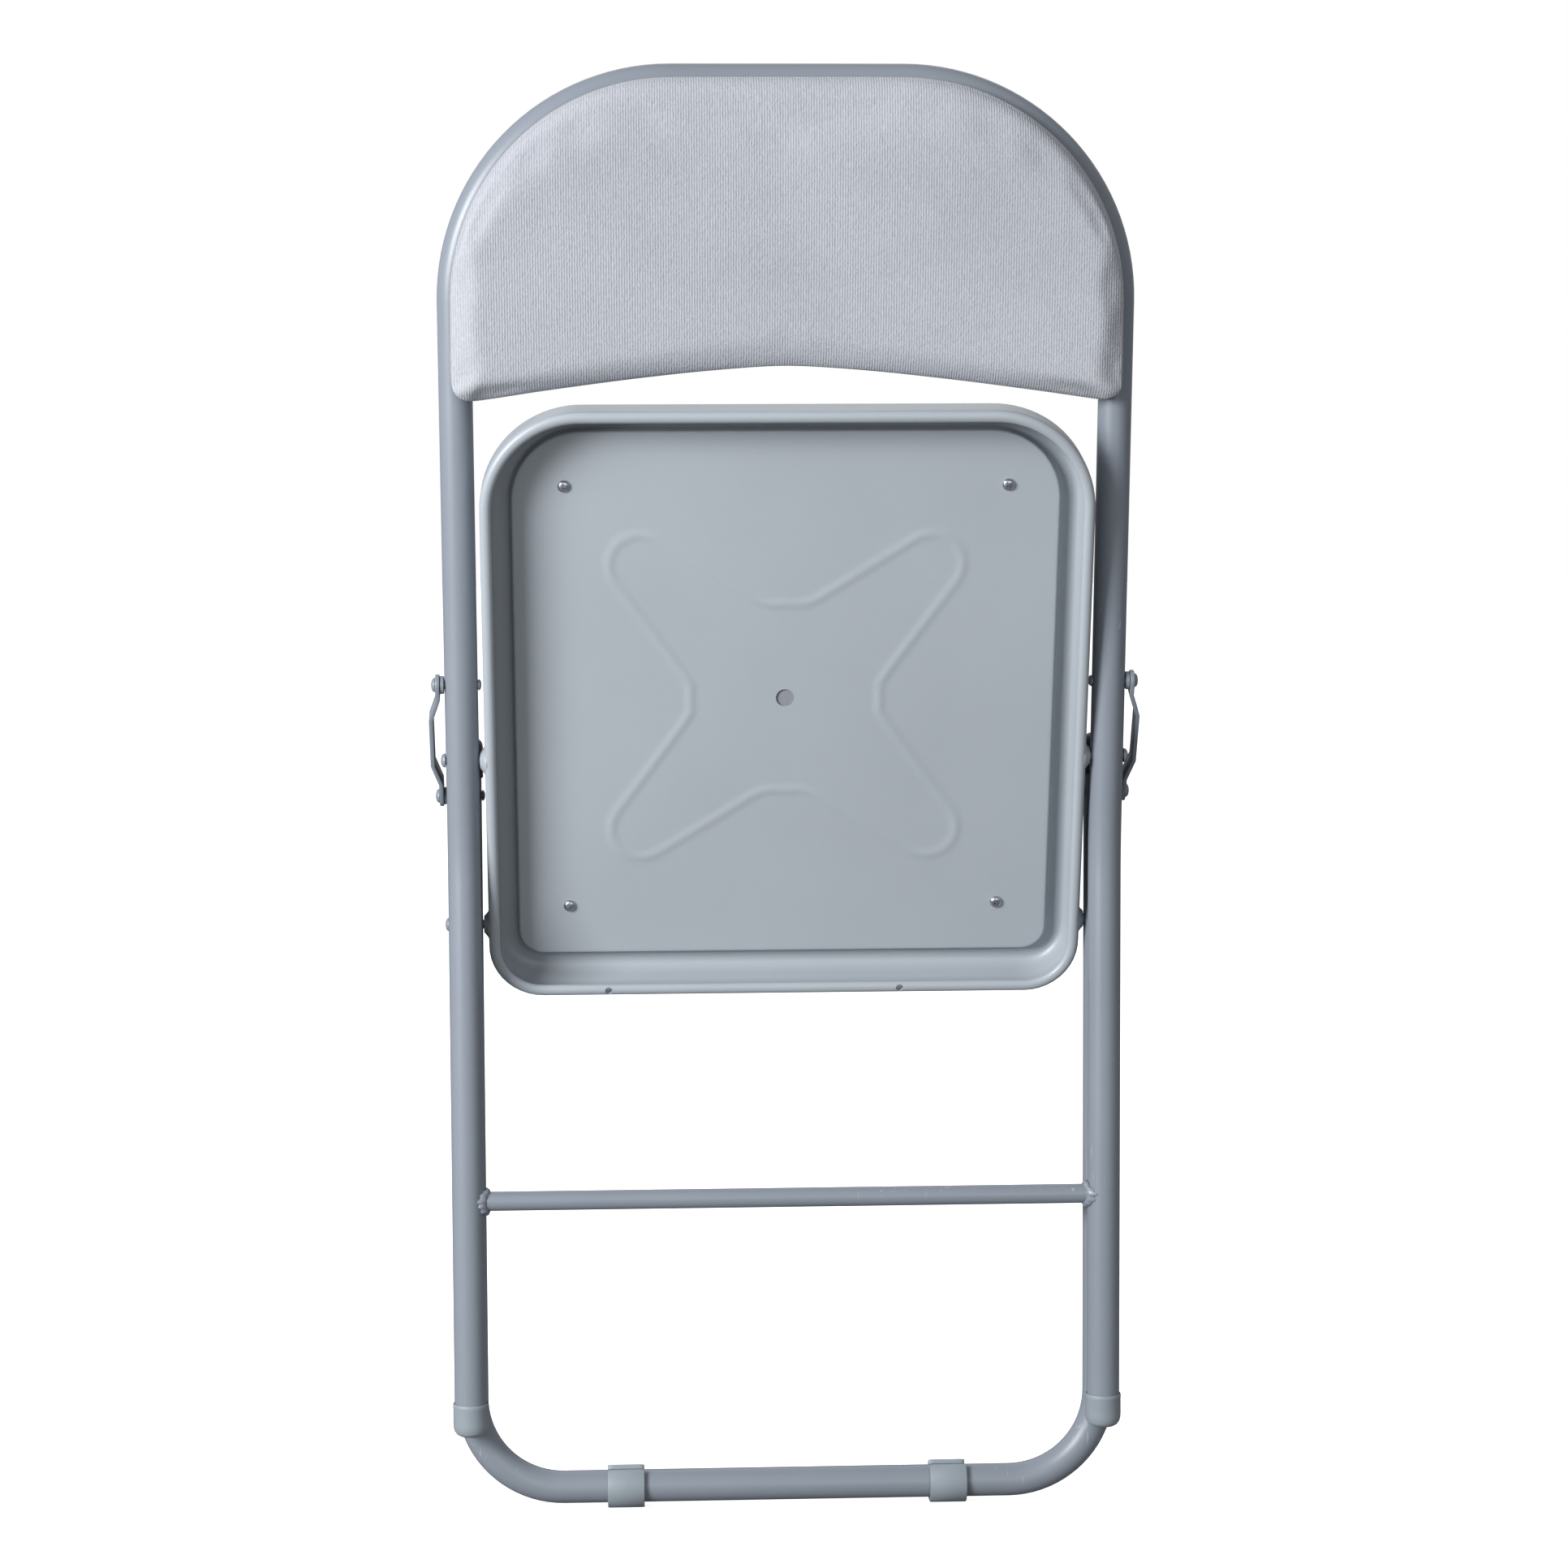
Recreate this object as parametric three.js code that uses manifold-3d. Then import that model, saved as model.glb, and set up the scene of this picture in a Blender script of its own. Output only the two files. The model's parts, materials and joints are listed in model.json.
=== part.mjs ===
// Folding chair of bent steel tube, shown folded flat and standing on its rear frame.
// Millimetres, +Z up, -Y is the chair's front, +X is the sitter's left hand side.
// Five bodies turn about axes along X: front frame, seat, rear frame and two side links.

import * as THREE from 'three';
import { mergeVertices } from 'three/addons/utils/BufferGeometryUtils.js';
import Module from 'manifold-3d';

const wasm = await Module();
wasm.setup();

// ---- Driving dimensions ------------------------------------------------------------------

const GAP = 0.3;
const TUBE_R = 11;
const TUBE_WALL = 1;
const FRAME_HALF = 214;
const OUTER_FACE = FRAME_HALF + TUBE_R;
const INNER_FACE = FRAME_HALF - TUBE_R;
const FRONT_LEG_Y = 11.9;

const FRONT_FOOT_Z = 57;
const BEND_Z = 453;
const BEND_ANGLE = THREE.MathUtils.degToRad(8.5);
const BEND_R = 300;
const HOOP_TOP = 502;
const HOOP_R = 139;
const BACK_BOW = 12;

const REAR_LEG_Y = 23.75;
const REAR_TOP_Z = 523;
const REAR_BEND_R = 62;
const REAR_BAR_Z = 14;

const CROSSBAR_Z = 216.7;
const CROSSBAR_R = 6.5;

const SEAT_PIVOT_S = 61.7;
const LINK_PIVOT_S = 112.6;
const SEAT_REAR_PIVOT_Z = 401;
const LINK_LOWER_PIVOT_Z = 488;
const SEAT_TILT = THREE.MathUtils.degToRad(15.8);

const PAN_HALF = 199;
const PAN_FRONT = 237.6;
const PAN_REAR = -166.6;
const PAN_FRONT_R = 66;
const PAN_REAR_R = 36;
const PAN_WALL = 0.9;
const PAN_RIM = -10.5;
const PAN_BEAD = 7.4;
const PAN_SHOULDER = 12;
const PAN_CHANNEL = 28;
const PAN_EDGE = 19.5;
const PAN_TOP = 20;
const SEAT_BOARD_TOP = 28.3;
const SEAT_PAD_TOP = 56;
const SEAT_SCREW_X = 145;
const SEAT_SCREW_REACH = 147;

const RIVET_R = 3;
const HEAD_R = 4.75;
const BORE_R = RIVET_R + GAP;
const LINK_INNER = OUTER_FACE + 3.1;
const LINK_THICK = 2.8;
const LINK_OUTER = LINK_INNER + LINK_THICK;
const LINK_JOGGLE = 5;
const LINK_HALF_WIDTH = 7;
const REAR_CAP_R = 12.3;
const LINK_CLEAR = FRAME_HALF + REAR_CAP_R + GAP;

const BACK_HALF = 217;
const BACK_TOP = 506.3;
const BACK_CORNER_R = 142;
const BACK_BOTTOM = 297.4;
const BACK_ARCH = 24;
const BACK_ARCH_POWER = 1.35;
const BACK_FOOT_R = 16;
const BACK_BOARD_FRONT = 16;
const BACK_PAD_FRONT = 33;

const SIDES = [{ name: 'left', sign: -1 }, { name: 'right', sign: 1 }];

// ---- Materials ---------------------------------------------------------------------------

const paint = () => new THREE.MeshStandardMaterial({ color: 0x8f959f, roughness: 0.42, metalness: 0.25 });
const velvet = () => new THREE.MeshStandardMaterial({ color: 0xb9bcc8, roughness: 0.95, metalness: 0 });
const zinc = () => new THREE.MeshStandardMaterial({ color: 0xc4c7cc, roughness: 0.3, metalness: 0.9 });
const plywood = () => new THREE.MeshStandardMaterial({ color: 0xb58f62, roughness: 0.8, metalness: 0 });
const lining = () => new THREE.MeshStandardMaterial({ color: 0x7d8289, roughness: 0.9, metalness: 0 });
const footPlastic = () => new THREE.MeshStandardMaterial({ color: 0x838d93, roughness: 0.55, metalness: 0 });
const capPlastic = () => new THREE.MeshStandardMaterial({ color: 0x2c3038, roughness: 0.5, metalness: 0 });

// ---- Shape tools -------------------------------------------------------------------------

function solid(geometry) {
  const bare = geometry.clone();
  bare.deleteAttribute('normal');
  bare.deleteAttribute('uv');
  const merged = mergeVertices(bare, 1e-4);
  return new wasm.Manifold(new wasm.Mesh({
    numProp: 3,
    vertProperties: Float32Array.from(merged.attributes.position.array),
    triVerts: Uint32Array.from(merged.index.array),
  }));
}

function geometryOf(manifold) {
  const { vertProperties, triVerts } = manifold.getMesh();
  const geometry = new THREE.BufferGeometry();
  geometry.setAttribute('position', new THREE.BufferAttribute(vertProperties, 3));
  geometry.setIndex(new THREE.BufferAttribute(triVerts, 1));
  geometry.computeVertexNormals();
  return geometry;
}

function cut(geometry, tools) {
  const body = tools.reduce((rest, tool) => rest.subtract(solid(tool)), solid(geometry));
  return geometryOf(body);
}

// A turned shape: profile pairs are [radius, height along the axis], rising on the outside.
function turned(profile, axis, sides = 12) {
  const points = profile.map(([radius, height]) => new THREE.Vector2(radius, height));
  const geometry = new THREE.LatheGeometry(points, sides);
  if (axis === 'y') return geometry;
  if (axis === 'z') return geometry.rotateX(Math.PI / 2);
  return geometry.rotateZ(axis === '-x' ? Math.PI / 2 : -Math.PI / 2);
}

function sidewaysAxis(sign) {
  return sign < 0 ? '-x' : '+x';
}

function boreAlongX(radius, fromX, toX, y, z) {
  return new THREE.CylinderGeometry(radius, radius, Math.abs(toX - fromX), 12)
    .rotateZ(Math.PI / 2).translate((fromX + toX) / 2, y, z);
}

function boreAlongY(radius, fromY, toY, x, z) {
  return new THREE.CylinderGeometry(radius, radius, Math.abs(toY - fromY), 12)
    .translate(x, (fromY + toY) / 2, z);
}

// A route through chosen stations, so that a long straight takes one step and a bend takes many.
class StationRoute extends THREE.Curve {
  constructor(stations) {
    super();
    this.stations = stations;
  }

  direction(index) {
    return this.stations[index + 1].clone().sub(this.stations[index]).normalize();
  }

  getPointAt(t, target = new THREE.Vector3()) {
    const last = this.stations.length - 1;
    return target.copy(this.stations[Math.round(t * last)]);
  }

  getTangentAt(t, target = new THREE.Vector3()) {
    const last = this.stations.length - 1;
    const index = Math.round(t * last);
    const before = this.direction(Math.max(index - 1, 0));
    const after = this.direction(Math.min(index, last - 1));
    return target.copy(before.add(after).normalize());
  }
}

function ringPoints(radius, sides) {
  return Array.from({ length: sides }, (_, i) => {
    const angle = 2 * Math.PI * i / sides;
    return new THREE.Vector2(radius * Math.cos(angle), radius * Math.sin(angle));
  });
}

function tubeAlong(stations, radius, wall) {
  const section = new THREE.Shape(ringPoints(radius, 16));
  section.holes.push(new THREE.Path(ringPoints(radius - wall, 10)));
  return new THREE.ExtrudeGeometry(section, {
    steps: stations.length - 1,
    extrudePath: new StationRoute(stations),
  });
}

function mirrored(stations) {
  const across = stations.map((p) => new THREE.Vector3(-p.x, p.y, p.z)).reverse();
  return [...stations, ...across];
}

// ---- Frame of reference of the leaning upper part of the front frame ---------------------

const backPlane = new THREE.Matrix4().makeRotationX(BEND_ANGLE).setPosition(0, 0, BEND_Z);

function bow(x) {
  return BACK_BOW * (1 - Math.min(1, (x / FRAME_HALF) ** 2));
}

function onBackPlane(x, s) {
  return new THREE.Vector3(x, bow(x), s).applyMatrix4(backPlane);
}

const seatPivot = onBackPlane(FRAME_HALF, SEAT_PIVOT_S);
const linkPivot = onBackPlane(FRAME_HALF, LINK_PIVOT_S);

// ---- Front frame: one hooped tube, its crossbar and two feet -----------------------------

function frontFrameStations() {
  const tangent = BEND_R * Math.tan(BEND_ANGLE / 2);
  const half = [new THREE.Vector3(-FRAME_HALF, 0, FRONT_FOOT_Z + 4)];
  const bendSteps = 3;
  for (let i = 0; i <= bendSteps; i += 1) {
    const angle = BEND_ANGLE * i / bendSteps;
    const y = BEND_R * (Math.cos(angle) - 1);
    half.push(new THREE.Vector3(-FRAME_HALF, y, BEND_Z - tangent + BEND_R * Math.sin(angle)));
  }
  const hoopSteps = 9;
  for (let i = 0; i <= hoopSteps; i += 1) {
    const angle = Math.PI / 2 * i / hoopSteps;
    const x = -(FRAME_HALF - HOOP_R) - HOOP_R * Math.cos(angle);
    half.push(onBackPlane(x, HOOP_TOP - HOOP_R + HOOP_R * Math.sin(angle)));
  }
  for (const share of [0.66, 0.33]) half.push(onBackPlane(-(FRAME_HALF - HOOP_R) * share, HOOP_TOP));
  return mirrored(half);
}

const BACK_SCREWS = [
  { x: -FRAME_HALF, s: 330 },
  { x: FRAME_HALF, s: 330 },
  { x: -60, s: HOOP_TOP },
  { x: 60, s: HOOP_TOP },
];

function onBack(geometry, x, s) {
  return geometry.translate(x, bow(x), s).applyMatrix4(backPlane);
}

function frontFrameTube() {
  const bores = [];
  for (const { sign } of SIDES) {
    const [near, far] = [sign * (INNER_FACE - 2), sign * (OUTER_FACE + 2)];
    bores.push(boreAlongX(BORE_R, near, far, seatPivot.y, seatPivot.z));
    bores.push(boreAlongX(BORE_R, near, far, linkPivot.y, linkPivot.z));
  }
  for (const { x, s } of BACK_SCREWS) bores.push(onBack(boreAlongY(2.3, -14, 14, 0, 0), x, s));
  return cut(tubeAlong(frontFrameStations(), TUBE_R, TUBE_WALL), bores);
}

// The bar is coped round each leg, and its ends swell into the weld.
function crossbar() {
  const end = FRAME_HALF - 5;
  const face = INNER_FACE;
  const inside = CROSSBAR_R - TUBE_WALL;
  const profile = [
    [inside, -end], [8.6, -end], [8.4, -face + 1], [CROSSBAR_R, -face + 5], [CROSSBAR_R, face - 5],
    [8.4, face - 1], [8.6, end], [inside, end], [inside, -end],
  ];
  const bar = turned(profile, '+x').translate(0, 0, CROSSBAR_Z);
  const legs = SIDES.map(({ sign }) => new THREE.CylinderGeometry(TUBE_R + GAP, TUBE_R + GAP, 60, 32)
    .rotateX(Math.PI / 2).translate(sign * FRAME_HALF, 0, CROSSBAR_Z));
  return cut(bar, legs);
}

function frontFoot(sign) {
  const bore = TUBE_R + GAP;
  const profile = [
    [0, 0], [6, 0], [10, 1.8], [11.9, 5], [12.25, 8], [12.25, 22], [11.9, 22.6], [bore, 22.6],
    [bore, 4 - GAP], [0, 4 - GAP],
  ];
  return turned(profile, 'z', 18).translate(sign * FRAME_HALF, 0, FRONT_FOOT_Z);
}

// ---- Backrest: a bowed board and pad on the front of the hoop ----------------------------

function backTop(x, inset) {
  const beyond = Math.max(0, Math.abs(x) - (BACK_HALF - BACK_CORNER_R));
  const radius = BACK_CORNER_R - inset;
  return BACK_TOP - BACK_CORNER_R + Math.sqrt(Math.max(0, radius ** 2 - beyond ** 2));
}

function backBottom(x, inset) {
  const beyond = Math.max(0, Math.abs(x) - (BACK_HALF - BACK_FOOT_R));
  const radius = BACK_FOOT_R - inset;
  const rounding = BACK_FOOT_R - Math.sqrt(Math.max(0, radius ** 2 - beyond ** 2));
  return BACK_BOTTOM + BACK_ARCH * (1 - Math.abs(x / BACK_HALF) ** BACK_ARCH_POWER) + rounding;
}

function backPanel(inset, backY, frontY) {
  const panel = new THREE.BoxGeometry(2, 1, 1, 26, 1, 4);
  const place = panel.attributes.position;
  for (let i = 0; i < place.count; i += 1) {
    const x = (BACK_HALF - inset) * Math.sin(place.getX(i) * Math.PI / 2);
    const rise = place.getZ(i) + 0.5;
    const s = THREE.MathUtils.lerp(backBottom(x, inset), backTop(x, inset), rise);
    const y = place.getY(i) > 0 ? backY : frontY;
    place.setXYZ(i, x, y + bow(x), s);
  }
  return panel.applyMatrix4(backPlane);
}

function backBoard() {
  const holes = BACK_SCREWS.map(({ x, s }) => {
    return onBack(boreAlongY(2.3, -TUBE_R + 2, -BACK_BOARD_FRONT + 0.8, 0, 0), x, s);
  });
  return cut(backPanel(5, -TUBE_R - GAP, -BACK_BOARD_FRONT), holes);
}

function backScrew({ x, s }) {
  const head = TUBE_R + GAP;
  const tip = -BACK_BOARD_FRONT + 1.2;
  const profile = [
    [0, tip], [1.4, tip], [2, tip + 1], [2, head],
    [4.2, head], [3.8, head + 1.6], [0, head + 2.3],
  ];
  return onBack(turned(profile, 'y', 12), x, s);
}

// ---- Seat: pressed pan, board and cushion ------------------------------------------------

// A closed shape whose level rings are all the seat's outline, each drawn in by its own inset.
// Profile pairs are [inset, height]; an inset of null is the middle of the seat.
function seatRings(profile) {
  const perCorner = 6;
  const corners = [
    { x: 1, z: PAN_FRONT, r: PAN_FRONT_R, up: 1 },
    { x: -1, z: PAN_FRONT, r: PAN_FRONT_R, up: 1 },
    { x: -1, z: PAN_REAR, r: PAN_REAR_R, up: -1 },
    { x: 1, z: PAN_REAR, r: PAN_REAR_R, up: -1 },
  ];
  const segments = corners.length * perCorner;
  const marks = profile.map(([inset, height]) => new THREE.Vector2(inset === null ? 0 : 1, height));
  const shape = new THREE.LatheGeometry(marks, segments);
  const place = shape.attributes.position;
  for (let i = 0; i <= segments; i += 1) {
    const corner = corners[Math.floor((i % segments) / perCorner)];
    const turn = (Math.floor((i % segments) / perCorner) + (i % perCorner) / (perCorner - 1)) * Math.PI / 2;
    for (let j = 0; j < profile.length; j += 1) {
      const [inset, height] = profile[j];
      const radius = corner.r - inset;
      const x = corner.x * (PAN_HALF - corner.r) + radius * Math.cos(turn);
      const z = corner.z - corner.up * corner.r + radius * Math.sin(turn);
      const index = i * profile.length + j;
      if (inset === null) place.setXYZ(index, 0, height, (PAN_FRONT + PAN_REAR) / 2);
      else place.setXYZ(index, x, height, z);
    }
  }
  return shape;
}

// The seat's own frame has its origin on the front pivot, +Z to its front edge, +Y to its top.
const seatFrame = new THREE.Matrix4().makeRotationX(SEAT_TILT).setPosition(0, seatPivot.y, seatPivot.z);
const rearPivotOnSeat = new THREE.Vector3(0, REAR_LEG_Y, SEAT_REAR_PIVOT_Z)
  .applyMatrix4(seatFrame.clone().invert());
const panMiddle = (PAN_FRONT + PAN_REAR) / 2;
const SEAT_SCREWS = [
  { x: -SEAT_SCREW_X, z: panMiddle + SEAT_SCREW_REACH },
  { x: SEAT_SCREW_X, z: panMiddle + SEAT_SCREW_REACH },
  { x: -SEAT_SCREW_X, z: panMiddle - SEAT_SCREW_REACH },
  { x: SEAT_SCREW_X, z: panMiddle - SEAT_SCREW_REACH },
];
const RIM_HOLES = [-119, 78];

function pivotBoss(sign) {
  const face = PAN_HALF - PAN_WALL / 2;
  const tip = PAN_HALF + 3.4;
  return turned([[0, face], [9, face], [9, PAN_HALF], [5.5, tip], [0, tip]], sidewaysAxis(sign));
}

function seatPan() {
  const bead = PAN_RIM + 3;
  const under = PAN_TOP - PAN_WALL;
  const crease = PAN_CHANNEL - PAN_WALL;
  const sheet = seatRings([
    [null, PAN_TOP], [PAN_EDGE + PAN_WALL, PAN_TOP], [PAN_EDGE - 0.3, PAN_CHANNEL], [10, PAN_CHANNEL],
    [5.5, PAN_CHANNEL - 2.2], [2, PAN_CHANNEL - 8], [0, PAN_SHOULDER], [0, bead],
    [1.1, bead - 2.1], [PAN_BEAD / 2, PAN_RIM], [PAN_BEAD - 1.1, bead - 2.1], [PAN_BEAD, bead],
    [PAN_BEAD - 1.1, bead + 2.1], [PAN_BEAD / 2, bead + 2.9], [PAN_WALL, bead + 2.4],
    [PAN_WALL, PAN_SHOULDER - 0.2], [2.9, PAN_CHANNEL - 8.4], [6.2, PAN_CHANNEL - 3], [10.2, crease],
    [PAN_EDGE - 1.2, crease], [PAN_EDGE, under], [null, under],
  ]);
  let pan = solid(sheet);
  const pivots = [{ y: 0, z: 0 }, rearPivotOnSeat];
  for (const { sign } of SIDES) {
    for (const { y, z } of pivots) {
      pan = pan.add(solid(pivotBoss(sign).translate(0, y, z)));
      pan = pan.subtract(solid(boreAlongX(BORE_R, sign * (PAN_HALF - 8), sign * (PAN_HALF + 6), y, z)));
    }
  }
  pan = pan.subtract(solid(boreAlongY(6, PAN_TOP - 6, PAN_TOP + 6, 0, panMiddle)));
  for (const { x, z } of SEAT_SCREWS) {
    pan = pan.subtract(solid(boreAlongY(2.3, PAN_TOP - 6, PAN_TOP + 6, x, z)));
  }
  for (const x of RIM_HOLES) {
    pan = pan.subtract(solid(boreAlongY(2.5, PAN_RIM - 2, bead + 10, x, PAN_REAR + PAN_BEAD / 2)));
  }
  return geometryOf(pan).applyMatrix4(seatFrame);
}

function seatBoard() {
  const low = PAN_TOP + GAP;
  const inset = PAN_EDGE + PAN_WALL + 0.6;
  const board = seatRings([[null, SEAT_BOARD_TOP], [inset, SEAT_BOARD_TOP], [inset, low], [null, low]]);
  const holes = SEAT_SCREWS.map(({ x, z }) => boreAlongY(2.3, low - 2, SEAT_BOARD_TOP - 0.8, x, z));
  return cut(board, holes).applyMatrix4(seatFrame);
}

function seatCushion() {
  const low = SEAT_BOARD_TOP + GAP;
  const profile = [
    [null, SEAT_PAD_TOP], [34, SEAT_PAD_TOP - 3], [23, SEAT_PAD_TOP - 7], [15, SEAT_PAD_TOP - 13],
    [12.5, SEAT_PAD_TOP - 20], [13, low + 3], [16, low], [null, low],
  ];
  return seatRings(profile).applyMatrix4(seatFrame);
}

function seatScrew({ x, z }) {
  const under = PAN_TOP - PAN_WALL - GAP;
  const tip = SEAT_BOARD_TOP - 1.2;
  const profile = [
    [0, under - 2.4], [3.8, under - 1.6], [4.15, under], [2, under],
    [2, tip - 1], [1.4, tip], [0, tip],
  ];
  return turned(profile, 'y', 12).translate(x, 0, z).applyMatrix4(seatFrame);
}

// ---- Rear frame: one U of tube, two clip feet and two end caps ---------------------------

function rearFrameTube() {
  const half = [new THREE.Vector3(-FRAME_HALF, REAR_LEG_Y, REAR_TOP_Z)];
  const steps = 8;
  for (let i = 0; i <= steps; i += 1) {
    const angle = Math.PI / 2 * i / steps;
    const x = -(FRAME_HALF - REAR_BEND_R) - REAR_BEND_R * Math.cos(angle);
    half.push(new THREE.Vector3(x, REAR_LEG_Y, REAR_BAR_Z + REAR_BEND_R * (1 - Math.sin(angle))));
  }
  const bores = [];
  for (const { sign } of SIDES) {
    const [near, far] = [sign * (INNER_FACE - 2), sign * (OUTER_FACE + 2)];
    bores.push(boreAlongX(BORE_R, near, far, REAR_LEG_Y, SEAT_REAR_PIVOT_Z));
    bores.push(boreAlongX(BORE_R, near, far, REAR_LEG_Y, LINK_LOWER_PIVOT_Z));
  }
  return cut(tubeAlong(mirrored(half), TUBE_R, TUBE_WALL), bores);
}

// A C-shaped clip that snaps up round the bar, with a flat tread on the floor.
function rearFoot(sign) {
  const width = 25;
  const mouth = THREE.MathUtils.degToRad(25);
  const inner = TUBE_R + GAP;
  const outer = 14.6;
  const floor = Math.asin(REAR_BAR_Z / outer);
  const clip = new THREE.Shape();
  clip.absarc(0, 0, outer, Math.PI / 2 + mouth, Math.PI + floor, false);
  clip.absarc(0, 0, outer, 2 * Math.PI - floor, 2 * Math.PI + Math.PI / 2 - mouth, false);
  clip.absarc(0, 0, inner, Math.PI / 2 - mouth, Math.PI / 2 + mouth - 2 * Math.PI, true);
  const geometry = new THREE.ExtrudeGeometry(clip, { depth: width, bevelEnabled: false, curveSegments: 7 });
  return geometry.translate(0, 0, -width / 2).rotateY(Math.PI / 2).rotateX(Math.PI / 2)
    .translate(sign * 110, REAR_LEG_Y, REAR_BAR_Z);
}

function rearCap(sign) {
  const bore = TUBE_R + GAP;
  const skirt = REAR_TOP_Z - 23;
  const profile = [
    [0, REAR_TOP_Z + GAP], [bore, REAR_TOP_Z + GAP], [bore, skirt], [12.1, skirt],
    [REAR_CAP_R, skirt + 0.6], [REAR_CAP_R, REAR_TOP_Z - 2], [11.2, REAR_TOP_Z + 2],
    [7, REAR_TOP_Z + 4], [0, REAR_TOP_Z + 4.6],
  ];
  return turned(profile, 'z', 18).translate(sign * FRAME_HALF, REAR_LEG_Y, 0);
}

// ---- Side links --------------------------------------------------------------------------

const linkLength = Math.hypot(linkPivot.y - REAR_LEG_Y, linkPivot.z - LINK_LOWER_PIVOT_Z);
const linkTilt = Math.atan2(REAR_LEG_Y - linkPivot.y, linkPivot.z - LINK_LOWER_PIVOT_Z);

// A flat strap from the upper pivot down, set outward between its two round ends.
function link(sign) {
  const inner = sign * LINK_INNER;
  const step = sign * LINK_JOGGLE;
  const thick = sign * LINK_THICK;
  const side = new THREE.Shape();
  const turns = [[-9, 0], [-24, step], [-linkLength + 27, step], [-linkLength + 12, 0]];
  const low = -linkLength - 9;
  side.moveTo(inner, 9);
  for (const [z, out] of turns) side.lineTo(inner + out, z);
  side.lineTo(inner, low);
  side.lineTo(inner + thick, low);
  for (const [z, out] of turns.reverse()) side.lineTo(inner + out + thick, z);
  side.lineTo(inner + thick, 9);
  side.closePath();
  const strap = new THREE.ExtrudeGeometry(side, { depth: 20, bevelEnabled: false })
    .translate(0, 0, -10).rotateX(Math.PI / 2);
  const plan = new THREE.Shape();
  plan.absarc(0, 0, LINK_HALF_WIDTH, 0, Math.PI, false);
  plan.absarc(0, -linkLength, LINK_HALF_WIDTH, Math.PI, 2 * Math.PI, false);
  plan.closePath();
  const stadium = new THREE.ExtrudeGeometry(plan, { depth: 30, bevelEnabled: false, curveSegments: 8 })
    .rotateX(Math.PI / 2).rotateZ(Math.PI / 2)
    .translate(sign * (LINK_INNER + 5) - 15, 0, 0);
  const bores = [0, -linkLength].map((z) => {
    return solid(boreAlongX(BORE_R, inner - sign * 5, inner + sign * 12, 0, z));
  });
  const body = solid(strap).intersect(solid(stadium)).subtract(bores[0]).subtract(bores[1]);
  return geometryOf(body).rotateX(linkTilt).translate(0, linkPivot.y, linkPivot.z);
}

function ringSpacer(sign, near, y, z) {
  const far = LINK_INNER - GAP;
  const profile = [[BORE_R, near], [6, near], [6, far], [BORE_R, far], [BORE_R, near]];
  return turned(profile, sidewaysAxis(sign)).translate(0, y, z);
}

// ---- Rivets ------------------------------------------------------------------------------

// A rivet runs outward from its inner head; each head stands off its neighbour by the gap.
function rivet(sign, inner, outer, y, z) {
  const profile = [
    [0, inner.face - inner.height], [inner.radius * 0.85, inner.face - inner.height],
    [inner.radius, inner.face - inner.height * 0.5], [inner.radius, inner.face], [RIVET_R, inner.face],
    [RIVET_R, outer.face], [outer.radius, outer.face], [outer.radius * 0.9, outer.face + outer.height * 0.5],
    [outer.radius * 0.55, outer.face + outer.height * 0.88], [0, outer.face + outer.height],
  ];
  return turned(profile, sidewaysAxis(sign)).translate(0, y, z);
}

// The lower end of a link is opened: its rivet is in two lengths that meet outside the tube. What
// the link carries stays clear of the rear frame's caps.
function linkRivetHead(sign) {
  const face = LINK_OUTER + GAP;
  const profile = [
    [0, LINK_CLEAR], [RIVET_R, LINK_CLEAR], [RIVET_R, face], [HEAD_R, face],
    [HEAD_R * 0.9, face + 1.3], [HEAD_R * 0.55, face + 2.2], [0, face + 2.5],
  ];
  return turned(profile, sidewaysAxis(sign)).translate(0, REAR_LEG_Y, LINK_LOWER_PIVOT_Z);
}

function linkRivetTail(sign) {
  const face = INNER_FACE - GAP;
  const profile = [
    [0, face - 2], [3.2, face - 2], [3.75, face - 1], [3.75, face], [RIVET_R, face],
    [RIVET_R, LINK_CLEAR - GAP], [0, LINK_CLEAR - GAP],
  ];
  return turned(profile, sidewaysAxis(sign)).translate(0, REAR_LEG_Y, LINK_LOWER_PIVOT_Z);
}

const panInside = { face: PAN_HALF - PAN_WALL - GAP, height: 2, radius: 4.1 };
const tubeInside = { face: INNER_FACE - GAP, height: 2, radius: 3.75 };
const tubeOutside = { face: OUTER_FACE + GAP, height: 3, radius: HEAD_R };
const linkOutside = { face: LINK_OUTER + GAP, height: 2.5, radius: HEAD_R };

// ---- Assembly ----------------------------------------------------------------------------

const chair = new THREE.Group();
chair.position.y = FRONT_LEG_Y;

function part(name, geometry, material) {
  const mesh = new THREE.Mesh(geometry, material);
  mesh.name = name;
  chair.add(mesh);
}

part('front_frame_tube', frontFrameTube(), paint());
part('front_crossbar', crossbar(), paint());
part('backrest_board', backBoard(), plywood());
part('backrest_pad', backPanel(0, -BACK_BOARD_FRONT - GAP, -BACK_PAD_FRONT), velvet());
BACK_SCREWS.forEach((place, i) => part(`backrest_screw_${i + 1}`, backScrew(place), zinc()));

part('seat_pan', seatPan(), paint());
part('seat_board', seatBoard(), lining());
part('seat_pad', seatCushion(), velvet());
SEAT_SCREWS.forEach((place, i) => part(`seat_screw_${i + 1}`, seatScrew(place), zinc()));

part('rear_frame_tube', rearFrameTube(), paint());

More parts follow.
